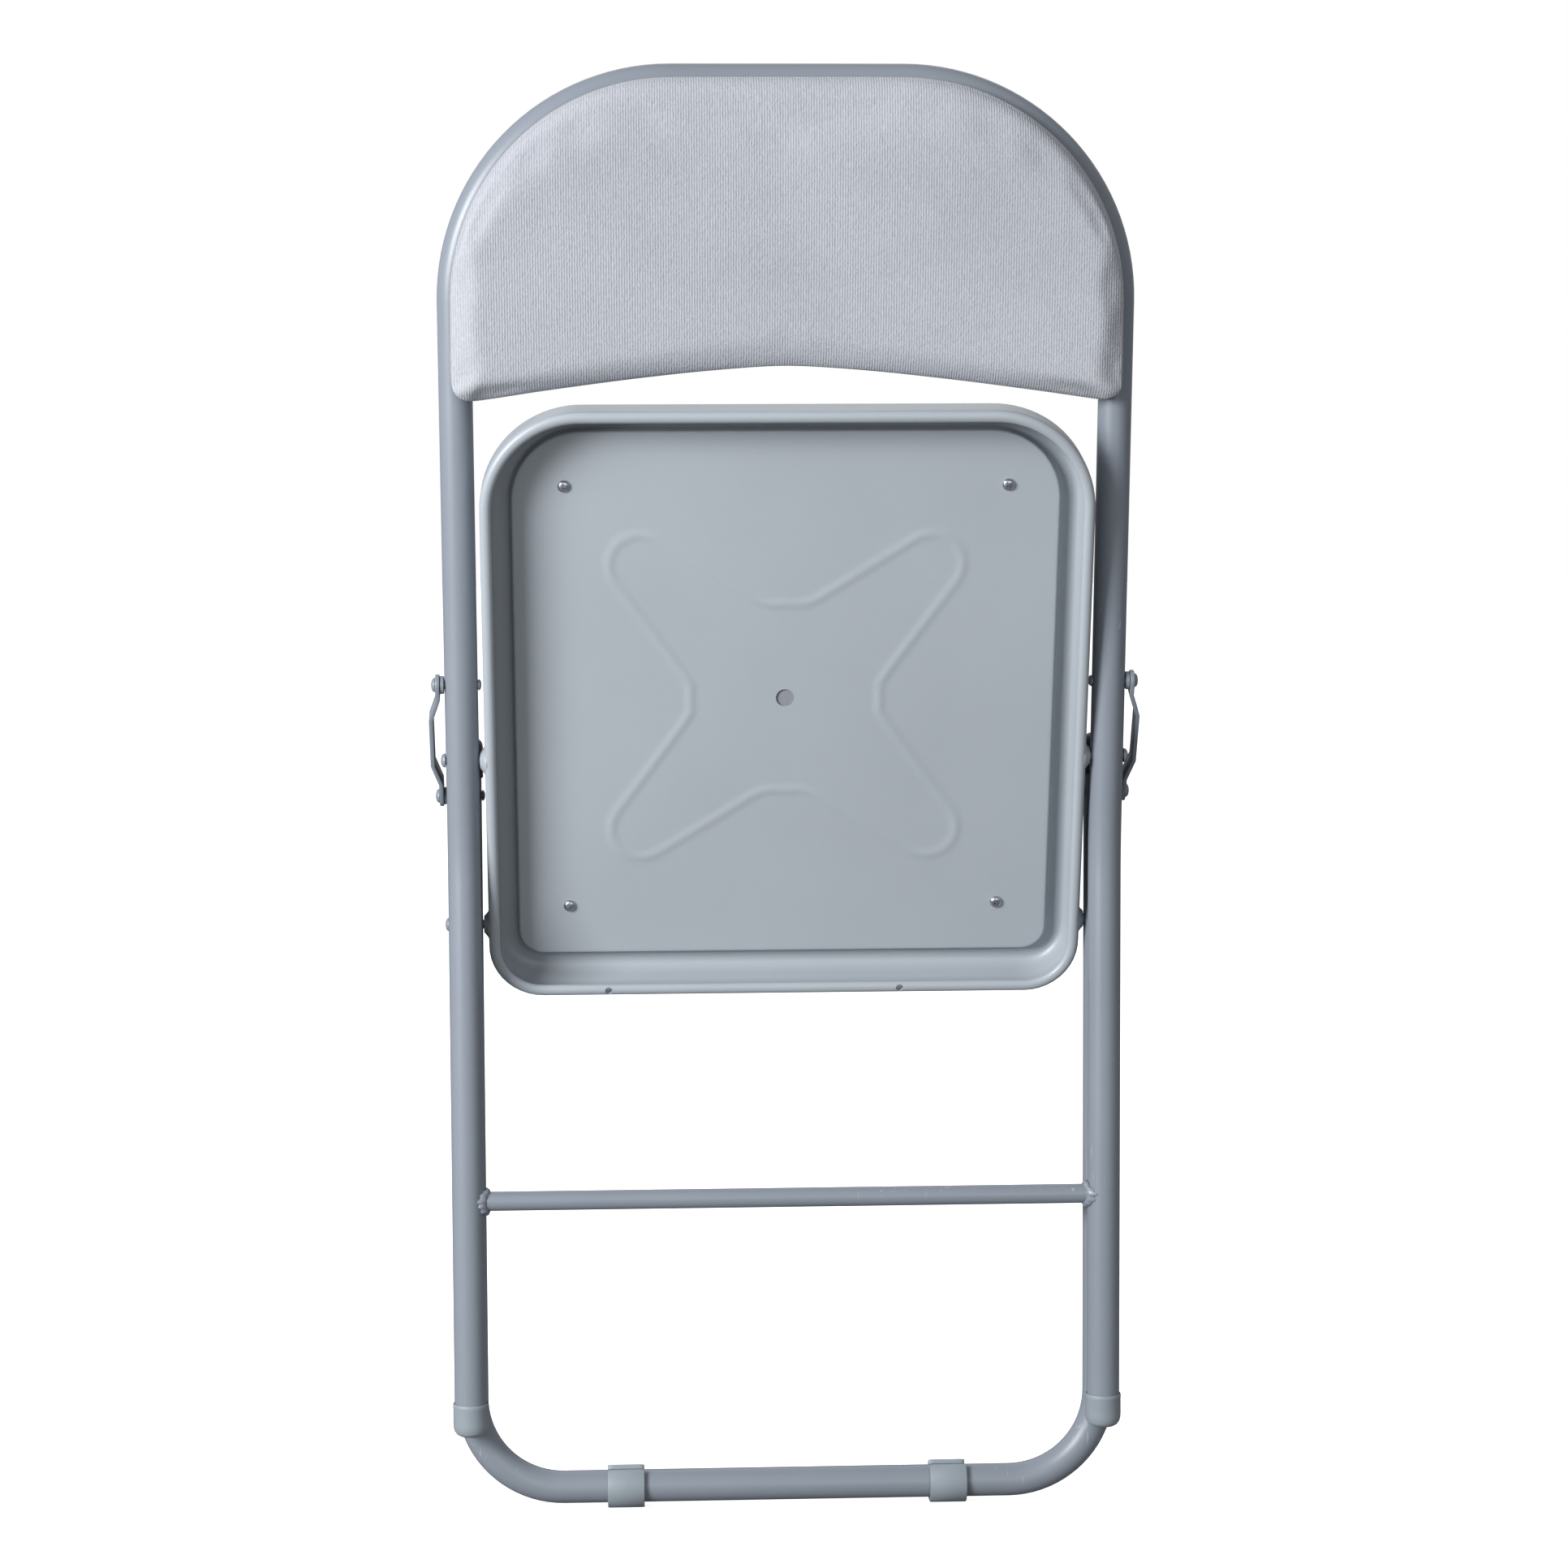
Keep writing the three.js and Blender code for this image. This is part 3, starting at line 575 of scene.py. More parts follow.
def plump(piece, voxel, pinned, cap, frames=20):
    """Lets cloth under pressure pull the closed form tight, no vertex further than the cap. The
    pinned vertices stay on the board. A form without even faces is remeshed by the voxel first."""
    if voxel:
        remesh = piece.modifiers.new("remesh", "REMESH")
        remesh.mode = "VOXEL"
        remesh.voxel_size = voxel
        apply_modifiers(piece)
    rest = [v.co.copy() for v in piece.data.vertices]
    held = piece.vertex_groups.new(name="held")
    held.add([v.index for v in piece.data.vertices if pinned(v.co)], 1.0, "REPLACE")
    cloth = piece.modifiers.new("cloth", "CLOTH")
    cloth.settings.use_pressure = True
    cloth.settings.uniform_pressure_force = 4
    cloth.settings.effector_weights.gravity = 0
    cloth.settings.vertex_group_mass = "held"
    cloth.settings.quality = 5
    cloth.point_cache.frame_start = 1
    cloth.point_cache.frame_end = frames
    for number in range(1, frames + 1):
        bpy.context.scene.frame_set(number)
    apply_modifiers(piece)
    bpy.context.scene.frame_set(1)
    for vert, home in zip(piece.data.vertices, rest):
        move = vert.co - home
        if move.length > cap:
            vert.co = home + move * (cap / move.length)
    piece.vertex_groups.clear()


def apply_modifiers(piece):
    """Makes the piece's evaluated mesh its own mesh and removes its modifiers."""
    bpy.context.view_layer.update()
    shown = piece.evaluated_get(bpy.context.evaluated_depsgraph_get())
    made = bpy.data.meshes.new_from_object(shown)
    old = piece.data
    piece.modifiers.clear()
    piece.data = made
    made.name = piece.name
    bpy.data.meshes.remove(old)


def relax(piece, rounds, factor=0.5):
    """Smooths the small steps that the remesh leaves."""
    bm = bmesh.new()
    bm.from_mesh(piece.data)
    for _ in range(rounds):
        bmesh.ops.smooth_vert(bm, verts=bm.verts, factor=factor, use_axis_x=True,
                              use_axis_y=True, use_axis_z=True)
    for face in bm.faces:
        face.smooth = True
    bm.to_mesh(piece.data)
    bm.free()


def finish_soft(piece, rounds, body, node):
    """Relaxes the worked form, makes it finer, and gives it its body and the node it stands for."""
    relax(piece, rounds)
    finer = piece.modifiers.new("finer", "SUBSURF")
    finer.levels = finer.render_levels = 1
    apply_modifiers(piece)
    for polygon in piece.data.polygons:
        polygon.use_smooth = True
    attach(piece, body)
    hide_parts(node)


PAD_EDGE = 0.0012
PAD_SWELL = 0.0028

back_out = (back_plane.to_3x3() @ Vector((0, 1, 0))).normalized()
pad = bmesh.new()
back_sheet(pad, PAD_EDGE, PAD_BACK, 110, 56)
thicken(pad, -back_out * (PAD_FRONT - PAD_BACK - PAD_SWELL))
sides = [e for e in pad.edges if abs((e.verts[0].co - e.verts[1].co).normalized().dot(back_out)) > 0.9]
bmesh.ops.subdivide_edges(pad, edges=sides, cuts=4, use_grid_fill=True)
to_back = back_plane.inverted()
for vert in pad.verts:
    local = to_back @ vert.co
    forward = bow(local.x) - local.y
    low, top = back_outline(local.x, 0)
    side = BACK_HALF - abs(local.x)
    edge = max(0, min(local.z - low, top - local.z, side))
    share = (forward - PAD_BACK) / (PAD_FRONT - PAD_BACK - PAD_SWELL)
    crown = 1 - max(0, 1 - edge / 0.013) ** 2.4 * 0.55
    belly = 0.0022 * (1 - (local.x / BACK_HALF) ** 2) * min(1, edge / 0.07)
    forward = PAD_BACK + share * ((PAD_FRONT - PAD_BACK - PAD_SWELL) * crown + belly)
    slack = 0.0002 * noise.noise(Vector((local.x * 30, 0, local.z * 30)))
    vert.co = back_plane @ Vector((local.x, bow(local.x) - forward, local.z + slack))
back_pad = loose_object("back_pad", pad, velvet)


def on_board(co):
    """Whether a place of the pad is held against the board."""
    local = to_back @ co
    return bow(local.x) - local.y < PAD_BACK + 0.0035


plump(back_pad, None, on_board, PAD_SWELL)
finish_soft(back_pad, 6, "front_frame", "backrest_pad")


def plywood_board(name):
    """Raw birch ply, with its pale grain along X."""
    material, tree, shader = new_surface(name, Roughness=0.72, Specular_IOR_Level=0.25)
    where = tree.nodes.new("ShaderNodeTexCoord")
    along = value_node(tree, "ShaderNodeMapping", Scale=(7.0, 90.0, 90.0))
    grain = value_node(tree, "ShaderNodeTexNoise", Scale=1.0, Detail=6.0, Roughness=0.62, Distortion=0.8)
    tone = value_node(tree, "ShaderNodeValToRGB")
    tone.color_ramp.elements[0].position = 0.32
    tone.color_ramp.elements[0].color = (0.29, 0.18, 0.095, 1)
    tone.color_ramp.elements[1].position = 0.66
    tone.color_ramp.elements[1].color = (0.52, 0.37, 0.215, 1)
    bump = value_node(tree, "ShaderNodeBump", Strength=0.3, Distance=0.0004)
    wire(where, "Object", along, "Vector")
    wire(along, "Vector", grain, "Vector")
    wire(grain, "Fac", tone, "Fac")
    wire(tone, "Color", shader, "Base Color")
    wire(grain, "Fac", bump, "Height")
    wire(bump, "Normal", shader, "Normal")
    return material


plywood = plywood_board("plywood")

board = bmesh.new()
back_sheet(board, 0.005, BOARD_FRONT, 90, 30)
thicken(board, back_out * (BOARD_FRONT - BOARD_BACK))
finish_piece("back_board", board, "front_frame", plywood, ["backrest_board"], 50)

# ---- Screws --------------------------------------------------------------------------------
# Zinc-plated pan-head screws with a cross recess. Four go through the pan into the seat board,
# and four through the hoop from behind into the backrest board.


def zinc_plate(name):
    """Zinc plate, finely mottled."""
    material, tree, shader = new_surface(name, Metallic=1.0)
    where = tree.nodes.new("ShaderNodeTexCoord")
    fine = value_node(tree, "ShaderNodeTexNoise", Scale=700.0, Detail=3.0)
    tone = value_node(tree, "ShaderNodeMix", data_type="RGBA", A=(0.36, 0.38, 0.42, 1),
                      B=(0.62, 0.64, 0.68, 1))
    gloss = value_node(tree, "ShaderNodeMapRange", To_Min=0.16, To_Max=0.34)
    wire(where, "Object", fine, "Vector")
    wire(fine, "Fac", tone, "Factor")
    wire(tone, "Result", shader, "Base Color")
    wire(fine, "Fac", gloss, "Value")
    wire(gloss, "Result", shader, "Roughness")
    return material


zinc = zinc_plate("zinc_screw")


def cut_away(piece, tool, crossing=False):
    """Cuts the tool's shape out of the piece; a crossing tool's own parts run through each other."""
    cut = piece.modifiers.new("cut", "BOOLEAN")
    cut.operation = "DIFFERENCE"
    cut.solver = "EXACT"
    cut.use_self = crossing
    cut.object = tool
    apply_modifiers(piece)
    bpy.data.objects.remove(tool)


def screw_mesh(head_r, head_h, shank):
    """A screw whose head stands on the origin's plane and whose shank runs down -Z."""
    bm = bmesh.new()
    profile = [
        (0, head_h), (head_r * 0.35, head_h * 0.985), (head_r * 0.62, head_h * 0.9),
        (head_r * 0.82, head_h * 0.72), (head_r * 0.95, head_h * 0.42), (head_r, head_h * 0.14),
        (head_r * 0.985, 0), (0.002, 0), (0.002, -shank + 0.001), (0.0013, -shank), (0, -shank),
    ]
    spin_profile(bm, profile, Matrix(), 48)
    bmesh.ops.recalc_face_normals(bm, faces=bm.faces)
    slots = bmesh.new()
    for quarter in (0, 1):
        wing = bmesh.ops.create_cube(slots, size=1)["verts"]
        shape = Matrix.Diagonal((head_r * 1.18, head_r * 0.24, head_h * 1.6, 1))
        bmesh.ops.transform(slots, matrix=shape, verts=wing)
        for vert in wing:
            if vert.co.z < 0:
                vert.co.x *= 0.35
                vert.co.y *= 0.7
        turned = Matrix.Rotation(quarter * math.pi / 2, 4, "Z")
        bmesh.ops.transform(slots, matrix=Matrix.Translation((0, 0, head_h * 1.15)) @ turned, verts=wing)
    body = loose_object("screw", bm)
    cut_away(body, loose_object("slots", slots), crossing=True)
    made = body.data.copy()
    bpy.data.objects.remove(body)
    return made


def place_screw(name, mesh, place, body, node):
    """A copy of the screw, driven home at its place."""
    bm = bmesh.new()
    bm.from_mesh(mesh)
    bmesh.ops.transform(bm, matrix=place, verts=bm.verts)
    finish_piece(name, bm, body, zinc, [node], 30)


back_screw = screw_mesh(0.0042, 0.0023, 0.024)
for number in range(1, 5):
    low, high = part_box(f"backrest_screw_{number}")
    middle = (low + high) / 2
    local = to_back @ middle
    head_place = back_plane @ Matrix.Translation((local.x, bow(local.x) + TUBE_R + GAP, local.z))
    spun = Matrix.Rotation(-math.pi / 2, 4, "X") @ Matrix.Rotation(0.5 + number * 1.1, 4, "Z")
    place_screw(f"back_screw_{number}", back_screw, head_place @ spun, "front_frame",
                f"backrest_screw_{number}")

# ---- Seat pan ------------------------------------------------------------------------------
# A tray pressed from thin steel sheet, seen from below when the chair is folded. Its rim is
# rolled to a bead, a deep channel runs round inside the wall, and the panel is stiffened by one
# closed star-shaped rib round a drain hole. Pressed cones at the sides meet the rivets.

PAN_HALF = 0.199
PAN_FRONT = 0.2376
PAN_REAR = -0.1666
PAN_FRONT_R = 0.066
PAN_REAR_R = 0.036
PAN_WALL = 0.0009
PAN_RIM = -0.0105
PAN_BEAD = 0.0074
PAN_SHOULDER = 0.012
PAN_CHANNEL = 0.028
PAN_EDGE = 0.0195
PAN_TOP = 0.020
SEAT_TILT = math.radians(15.8)
PAN_HOLE_R = 0.006
RING_STEPS = 288
PANEL_RINGS = 92

joints = {joint["name"]: joint for joint in frame["joints"]}
seat_pivot = Vector(joints["seat_fold"]["pos_m"])
rear_pivot = Vector(joints["rear_leg_fold"]["pos_m"])
seat_place = Matrix.Translation(seat_pivot) @ Matrix.Rotation(SEAT_TILT, 4, "X")
pan_middle = (PAN_FRONT + PAN_REAR) / 2


def seat_outline(share, inset):
    """A point of the seat's outline, drawn in by inset; share runs once round it."""
    flat_x = PAN_HALF - PAN_FRONT_R
    flat_x_rear = PAN_HALF - PAN_REAR_R
    sides = [
        ((flat_x, PAN_FRONT - PAN_FRONT_R), PAN_FRONT_R, 0),
        ((-flat_x, PAN_FRONT - PAN_FRONT_R), PAN_FRONT_R, 1),
        ((-flat_x_rear, PAN_REAR + PAN_REAR_R), PAN_REAR_R, 2),
        ((flat_x_rear, PAN_REAR + PAN_REAR_R), PAN_REAR_R, 3),
    ]
    pieces = []
    for index, (centre, radius, quarter) in enumerate(sides):
        following = sides[(index + 1) % 4]
        leave = (quarter + 1) * math.pi / 2
        end = Vector((centre[0] + radius * math.cos(leave), centre[1] + radius * math.sin(leave)))
        start = Vector((following[0][0] + following[1] * math.cos(leave),
                        following[0][1] + following[1] * math.sin(leave)))
        pieces.append(("arc", centre, radius, quarter, radius * math.pi / 2))
        pieces.append(("side", end, start, quarter, (start - end).length))
    total = sum(piece[4] for piece in pieces)
    along = (share % 1.0) * total
    for kind, first, second, quarter, length in pieces:
        if along <= length:
            break
        along -= length
    if kind == "arc":
        angle = quarter * math.pi / 2 + along / second
        reach = second - inset
        return Vector((first[0] + reach * math.cos(angle), first[1] + reach * math.sin(angle)))
    out_angle = (quarter + 1) * math.pi / 2
    spot = first.lerp(second, along / length)
    return spot - inset * Vector((math.cos(out_angle), math.sin(out_angle)))


def outline_place(share, inset, height):
    """A point of the seat's outline, drawn in by inset, at a height."""
    spot = seat_outline(share, inset)
    return Vector((spot.x, height, spot.y))


RIB_TIP = (0.096, 0.0925)
RIB_TIP_R = 0.0205
RIB_WAIST_X = 0.055
RIB_WAIST_Z = 0.063
RIB_WAIST_R = 0.024
RIB_WIDTH = 0.0075
RIB_DEPTH = 0.0006
RIB_WAIST_EASE = 0.001


def tangent_angle(waist, tip, side):
    """The direction of the line from a waist that just touches the tip's circle on that side."""
    run = tip - waist
    return math.atan2(run.y, run.x) + side * math.asin(RIB_TIP_R / run.length)


def rib_quarter():
    """The rib's middle line from the top waist round one tip to the right-hand waist."""
    tip = Vector(RIB_TIP)
    top = Vector((0, RIB_WAIST_Z))
    right = Vector((RIB_WAIST_X, 0))
    rise = tangent_angle(top, tip, 1)
    fall = tangent_angle(right, tip, -1)
    quarter = [top + RIB_WAIST_R * share * Vector((math.cos(rise), math.sin(rise) * share / 2))
               for share in (0, 0.25, 0.5, 0.75, 1)]
    quarter = [point + Vector((0, RIB_WAIST_R * math.sin(rise) / 4 * (1 - share) ** 2))
               for point, share in zip(quarter, (0, 0.25, 0.5, 0.75, 1))]
    for i in range(13):
        angle = rise + math.pi / 2 + (fall - rise - math.pi) * i / 12
        quarter.append(tip + RIB_TIP_R * Vector((math.cos(angle), math.sin(angle))))
    quarter.append(right + RIB_WAIST_R * Vector((math.cos(fall), math.sin(fall))))
    ease = Vector((RIB_WAIST_EASE, 0))
    quarter.append(right + RIB_WAIST_R / 2 * Vector((math.cos(fall), math.sin(fall))) + ease)
    return quarter


def rib_route():
    """The whole middle line: the quarter, mirrored down and then across."""
    quarter = rib_quarter()
    half = quarter + [Vector((p.x, -p.y)) for p in reversed(quarter)]
    return half + [Vector((-p.x, p.y)) for p in reversed(half)]


rib_line = rib_route()


def rib_height(x, z):
    """How far the panel is pressed at a place, smooth across the rib's width."""
    spot = Vector((x, z))
    if max(abs(x), abs(z)) > max(RIB_TIP) + RIB_TIP_R + RIB_WIDTH:
        return 0
    nearest = 1.0
    for index, start in enumerate(rib_line):
        end = rib_line[(index + 1) % len(rib_line)]
        run = end - start
        share = max(0, min(1, (spot - start).dot(run) / max(run.length_squared, 1e-12)))
        nearest = min(nearest, (spot - start - run * share).length)
    t = max(0, 1 - nearest / (RIB_WIDTH * 0.62))
    return RIB_DEPTH * t * t * (3 - 2 * t)


bead = PAN_RIM + 0.003
under = PAN_TOP - PAN_WALL
crease = PAN_CHANNEL - PAN_WALL
inner_edge = [
    # (inset, height) from the panel over its edge into the channel, and down the wall to the bead
    (PAN_EDGE + 0.0016, under), (PAN_EDGE + 0.0008, under + 0.0001),
    (PAN_EDGE + 0.0002, under + 0.0006), (PAN_EDGE - 0.0001, under + 0.0016),
    (PAN_EDGE - 0.0007, under + 0.005), (PAN_EDGE - 0.0011, crease - 0.0014),
    (PAN_EDGE - 0.0017, crease - 0.0004), (PAN_EDGE - 0.0028, crease),
    (0.0108, crease), (0.0082, crease - 0.0006), (0.006, crease - 0.0022), (0.0043, crease - 0.0048),
    (0.0029, crease - 0.0085), (0.0018, crease - 0.0124), (PAN_WALL + 0.0002, PAN_SHOULDER + 0.001),
    (PAN_WALL, PAN_SHOULDER - 0.003), (PAN_WALL, 0.002), (PAN_WALL, -0.002),
    (PAN_WALL + 0.0001, bead + 0.0027),
]
roll = [
    (PAN_BEAD / 2 * (1 + math.cos(a)), bead + 0.003 * math.sin(a))
    for a in (math.radians(128 - 20 * i) for i in range(16))
]
outer_edge = [
    (-0.0001, bead + 0.003), (0.0, bead + 0.005), (0.0, 0.002), (0.0, PAN_SHOULDER),
    (0.0009, PAN_SHOULDER + 0.0042), (0.0021, PAN_SHOULDER + 0.0084), (0.0038, PAN_CHANNEL - 0.0047),
    (0.0061, PAN_CHANNEL - 0.0018), (0.0088, PAN_CHANNEL - 0.0003), (0.0115, PAN_CHANNEL),
    (PAN_EDGE - 0.0017, PAN_CHANNEL), (PAN_EDGE - 0.0006, PAN_CHANNEL - 0.0004),
    (PAN_EDGE - 0.0001, PAN_CHANNEL - 0.0014), (PAN_EDGE + 0.0004, PAN_CHANNEL - 0.0045),
    (PAN_EDGE + 0.001, PAN_TOP + 0.0012), (PAN_EDGE + 0.0016, PAN_TOP + 0.0003),
    (PAN_EDGE + 0.0026, PAN_TOP),
]


def lay_ring(ring, place_of):
    """Lays each vertex of the ring where the shape asks for it at its share."""
    for share, vert in ring:
        vert.co = seat_place @ place_of(share)


def grow_ring(bm, ring, place_of):
    """Extrudes the ring's edges and lays the new ring where the shape asks for it."""
    verts = [vert for _, vert in ring]
    edges = [bm.edges.get((verts[i - 1], verts[i])) for i in range(len(verts))]
    grown = bmesh.ops.extrude_edge_only(bm, edges=edges)["geom"]
    fresh = set(verts_of(grown))
    partner = {
        vert: edge.other_vert(vert)
        for vert in verts for edge in vert.link_edges if edge.other_vert(vert) in fresh
    }
    new_ring = [(share, partner[vert]) for share, vert in ring]
    lay_ring(new_ring, place_of)
    return new_ring


def hole_point(share, radius):
    """A point of the drain hole's edge, facing the same way as the outline at that share."""
    toward = seat_outline(share, PAN_EDGE) - Vector((0, pan_middle))
    return toward.normalized() * radius + Vector((0, pan_middle))


def panel_place(share, out, height, pressed):
    """A point of the panel between the hole, at 0, and the panel's edge, at 1."""
    spot = hole_point(share, PAN_HOLE_R).lerp(seat_outline(share, inner_edge[0][0]), out)
    if pressed:
        height -= rib_height(spot.x, spot.y - pan_middle)
    return Vector((spot.x, height, spot.y))


pan = bmesh.new()
start_ring = bmesh.ops.create_circle(pan, segments=RING_STEPS, radius=1)["verts"]
ring = [(i / RING_STEPS, vert) for i, vert in enumerate(start_ring)]
lay_ring(ring, lambda share: panel_place(share, 0, under, False))
first_ring = ring
for step in range(1, PANEL_RINGS + 1):
    ring = grow_ring(pan, ring, lambda share: panel_place(share, step / PANEL_RINGS, under, True))
for inset, height in inner_edge[1:] + roll + outer_edge:
    ring = grow_ring(pan, ring, lambda share: outline_place(share, inset, height))
for out in (0.75, 0.5, 0.25, 0.0):
    ring = grow_ring(pan, ring, lambda share: panel_place(share, out, PAN_TOP, False))
last_edges = [pan.edges.get((ring[i - 1][1], ring[i][1])) for i in range(RING_STEPS)]
first_edges = [pan.edges.get((first_ring[i - 1][1], first_ring[i][1])) for i in range(RING_STEPS)]
bmesh.ops.bridge_loops(pan, edges=last_edges + first_edges)

CONE = [
    (0, -0.0012), (0.0102, -0.0012), (0.0098, 0.0002), (0.0086, 0.0008), (0.0064, 0.0026),
    (0.0058, 0.0033), (0.0048, 0.0034), (0, 0.0034),
]
for sign in (-1, 1):
    for pivot in (seat_pivot, rear_pivot):
        spin_profile(pan, CONE, sideways(sign, PAN_HALF, pivot.y, pivot.z), 36)
# painted light: the pan has the frame's paint, given a lighter colour here to stand for the light that
# the panel catches
lit_pan_paint = painted("lit_pan_paint", (0.32, 0.352, 0.388, 1), 0.32, 0.0, 0.1)
seat_tray = finish_piece("seat_tray", pan, "seat", lit_pan_paint, ["seat_pan"], 60)

RIM_HOLE_R = 0.0025
RIM_HOLES = [-0.119, 0.078]
drills = bmesh.new()
for x in RIM_HOLES:
    drill = bmesh.ops.create_cone(drills, cap_ends=True, segments=32, radius1=RIM_HOLE_R,
                                  radius2=RIM_HOLE_R, depth=0.012)["verts"]
    spot = seat_place @ Matrix.Translation((x, bead, PAN_REAR + PAN_BEAD / 2))
    bmesh.ops.transform(drills, matrix=spot @ Matrix.Rotation(math.pi / 2, 4, "X"), verts=drill)
cut_away(seat_tray, loose_object("drills", drills))

# ---- Seat board, cushion and screws --------------------------------------------------------
# A plywood board under a grey lining lies on the pan, and a foam cushion in the same velvet lies
# on the board, its cloth drawn down round the edge. The cushion is deepest in the middle.

SEAT_BOARD_TOP = 0.0283
BOARD_INSET = PAN_EDGE + PAN_WALL + 0.0006


def woven_lining(name, color):
    """Thin grey cloth, plainly woven."""
    material, tree, shader = new_surface(name, Roughness=0.9, Specular_IOR_Level=0.15)
    where = tree.nodes.new("ShaderNodeTexCoord")
    weave = value_node(tree, "ShaderNodeTexChecker", Scale=1400.0, Color1=toned(color, 0.85),
                       Color2=toned(color, 1.15))
    bump = value_node(tree, "ShaderNodeBump", Strength=0.4, Distance=0.0002)
    wire(where, "Object", weave, "Vector")
    wire(weave, "Color", shader, "Base Color")
    wire(weave, "Fac", bump, "Height")
    wire(bump, "Normal", shader, "Normal")
    return material


def seat_body(rings, steps=120):
    """A closed body of level rings of the seat's outline, with a face over each end."""
    bm = bmesh.new()
    verts = bmesh.ops.create_circle(bm, segments=steps, radius=1)["verts"]
    ring = [(i / steps, vert) for i, vert in enumerate(verts)]
    first = ring
    lay_ring(ring, lambda share: outline_place(share, *rings[0]))
    for inset, height in rings[1:]:
        ring = grow_ring(bm, ring, lambda share: outline_place(share, inset, height))
    for end in (first, ring):
        bmesh.ops.contextual_create(bm, geom=[vert for _, vert in end])
    bmesh.ops.recalc_face_normals(bm, faces=bm.faces)
    return bm


seat_ply = seat_body([
    (BOARD_INSET + 0.0008, PAN_TOP + GAP), (BOARD_INSET, PAN_TOP + 0.001),
    (BOARD_INSET, SEAT_BOARD_TOP - 0.0008), (BOARD_INSET + 0.0008, SEAT_BOARD_TOP),
])
lining = woven_lining("board_lining", (0.2, 0.215, 0.235, 1))
finish_piece("seat_board_ply", seat_ply, "seat", lining, ["seat_board"], 50)

PAD_FOOT = SEAT_BOARD_TOP + GAP
CUSHION_SIDE = 0.0132
CUSHION_WALL = 0.009
CUSHION_ROUND = 0.03
CUSHION_RISE = 0.013
CUSHION_CROWN = 0.0025
CUSHION_STEP = 0.012
cushion_rings = [
    (0.0155, PAD_FOOT), (0.0138, PAD_FOOT + 0.003), (CUSHION_SIDE, PAD_FOOT + CUSHION_WALL),
]
for i in range(1, 13):
    bend = i / 12 * math.pi / 2
    inset = CUSHION_SIDE + CUSHION_ROUND * (1 - math.cos(bend))
    cushion_rings.append((inset, PAD_FOOT + CUSHION_WALL + CUSHION_RISE * math.sin(bend)))
for i in range(1, 12):
    crown = CUSHION_CROWN * (1 - (1 - i / 11) ** 2)
    inset = CUSHION_SIDE + CUSHION_ROUND + CUSHION_STEP * i
    cushion_rings.append((inset, PAD_FOOT + CUSHION_WALL + CUSHION_RISE + crown))
cushion = loose_object("seat_cushion", seat_body(cushion_rings, 160), velvet)
to_seat = seat_place.inverted()
plump(cushion, 0.005, lambda co: (to_seat @ co).y < PAD_FOOT + 0.004, 0.003)
finish_soft(cushion, 12, "seat", "seat_pad")

seat_screw = screw_mesh(0.00415, 0.0024, 0.0055)
for number in range(1, 5):
    low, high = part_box(f"seat_screw_{number}")
    middle = (low + high) / 2
    local = to_seat @ middle
    head_place = seat_place @ Matrix.Translation((local.x, under - 0.0001, local.z))
    spun = Matrix.Rotation(math.pi / 2, 4, "X") @ Matrix.Rotation(0.3 + number * 0.9, 4, "Z")
    place_screw(f"pan_screw_{number}", seat_screw, head_place @ spun, "seat", f"seat_screw_{number}")

# ---- Rear frame ----------------------------------------------------------------------------
# One length of the same tube bent to a U: the two rear legs and the bar that stands on the
# floor. Clips on the bar are its feet, and dark caps close the legs' upper ends.

REAR_BEND_R = 0.062
rear_low, rear_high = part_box("rear_frame_tube")
REAR_Y = (rear_low.y + rear_high.y) / 2
REAR_BAR_Z = rear_low.z + TUBE_R

rear_half = []
for i in range(8):
    rise = rear_high.z + (REAR_BAR_Z + REAR_BEND_R - rear_high.z) * i / 8
    rear_half.append(Vector((-FRAME_HALF, REAR_Y, rise)))
for i in range(21):
    angle = math.pi / 2 * i / 20
    rear_half.append(Vector((
        -(FRAME_HALF - REAR_BEND_R) - REAR_BEND_R * math.cos(angle), REAR_Y,
        REAR_BAR_Z + REAR_BEND_R * (1 - math.sin(angle)),
    )))
for i in range(1, 6):
    rear_half.append(Vector((-(FRAME_HALF - REAR_BEND_R) * (1 - i / 6), REAR_Y, REAR_BAR_Z)))
rear_across = [Vector((-p.x, p.y, p.z)) for p in reversed(rear_half)]
rear = bmesh.new()
tube_along(rear, rear_half + [Vector((0, REAR_Y, REAR_BAR_Z))] + rear_across, TUBE_R, TUBE_WALL)
finish_piece("rear_tube", rear, "rear_frame", frame_paint, ["rear_frame_tube"])

CREASE_ANGLE = 1.2


def creases(bm):
    """The edges where two faces meet sharply."""
    return [edge for edge in bm.edges if edge.is_manifold and edge.calc_face_angle() > CREASE_ANGLE]


def soften(bm, edges, offset, segments):
    """Rounds the edges over by the offset."""
    bmesh.ops.bevel(bm, geom=edges, offset=offset, offset_type="OFFSET", segments=segments,
                    profile=0.5, affect="EDGES", material=-1)


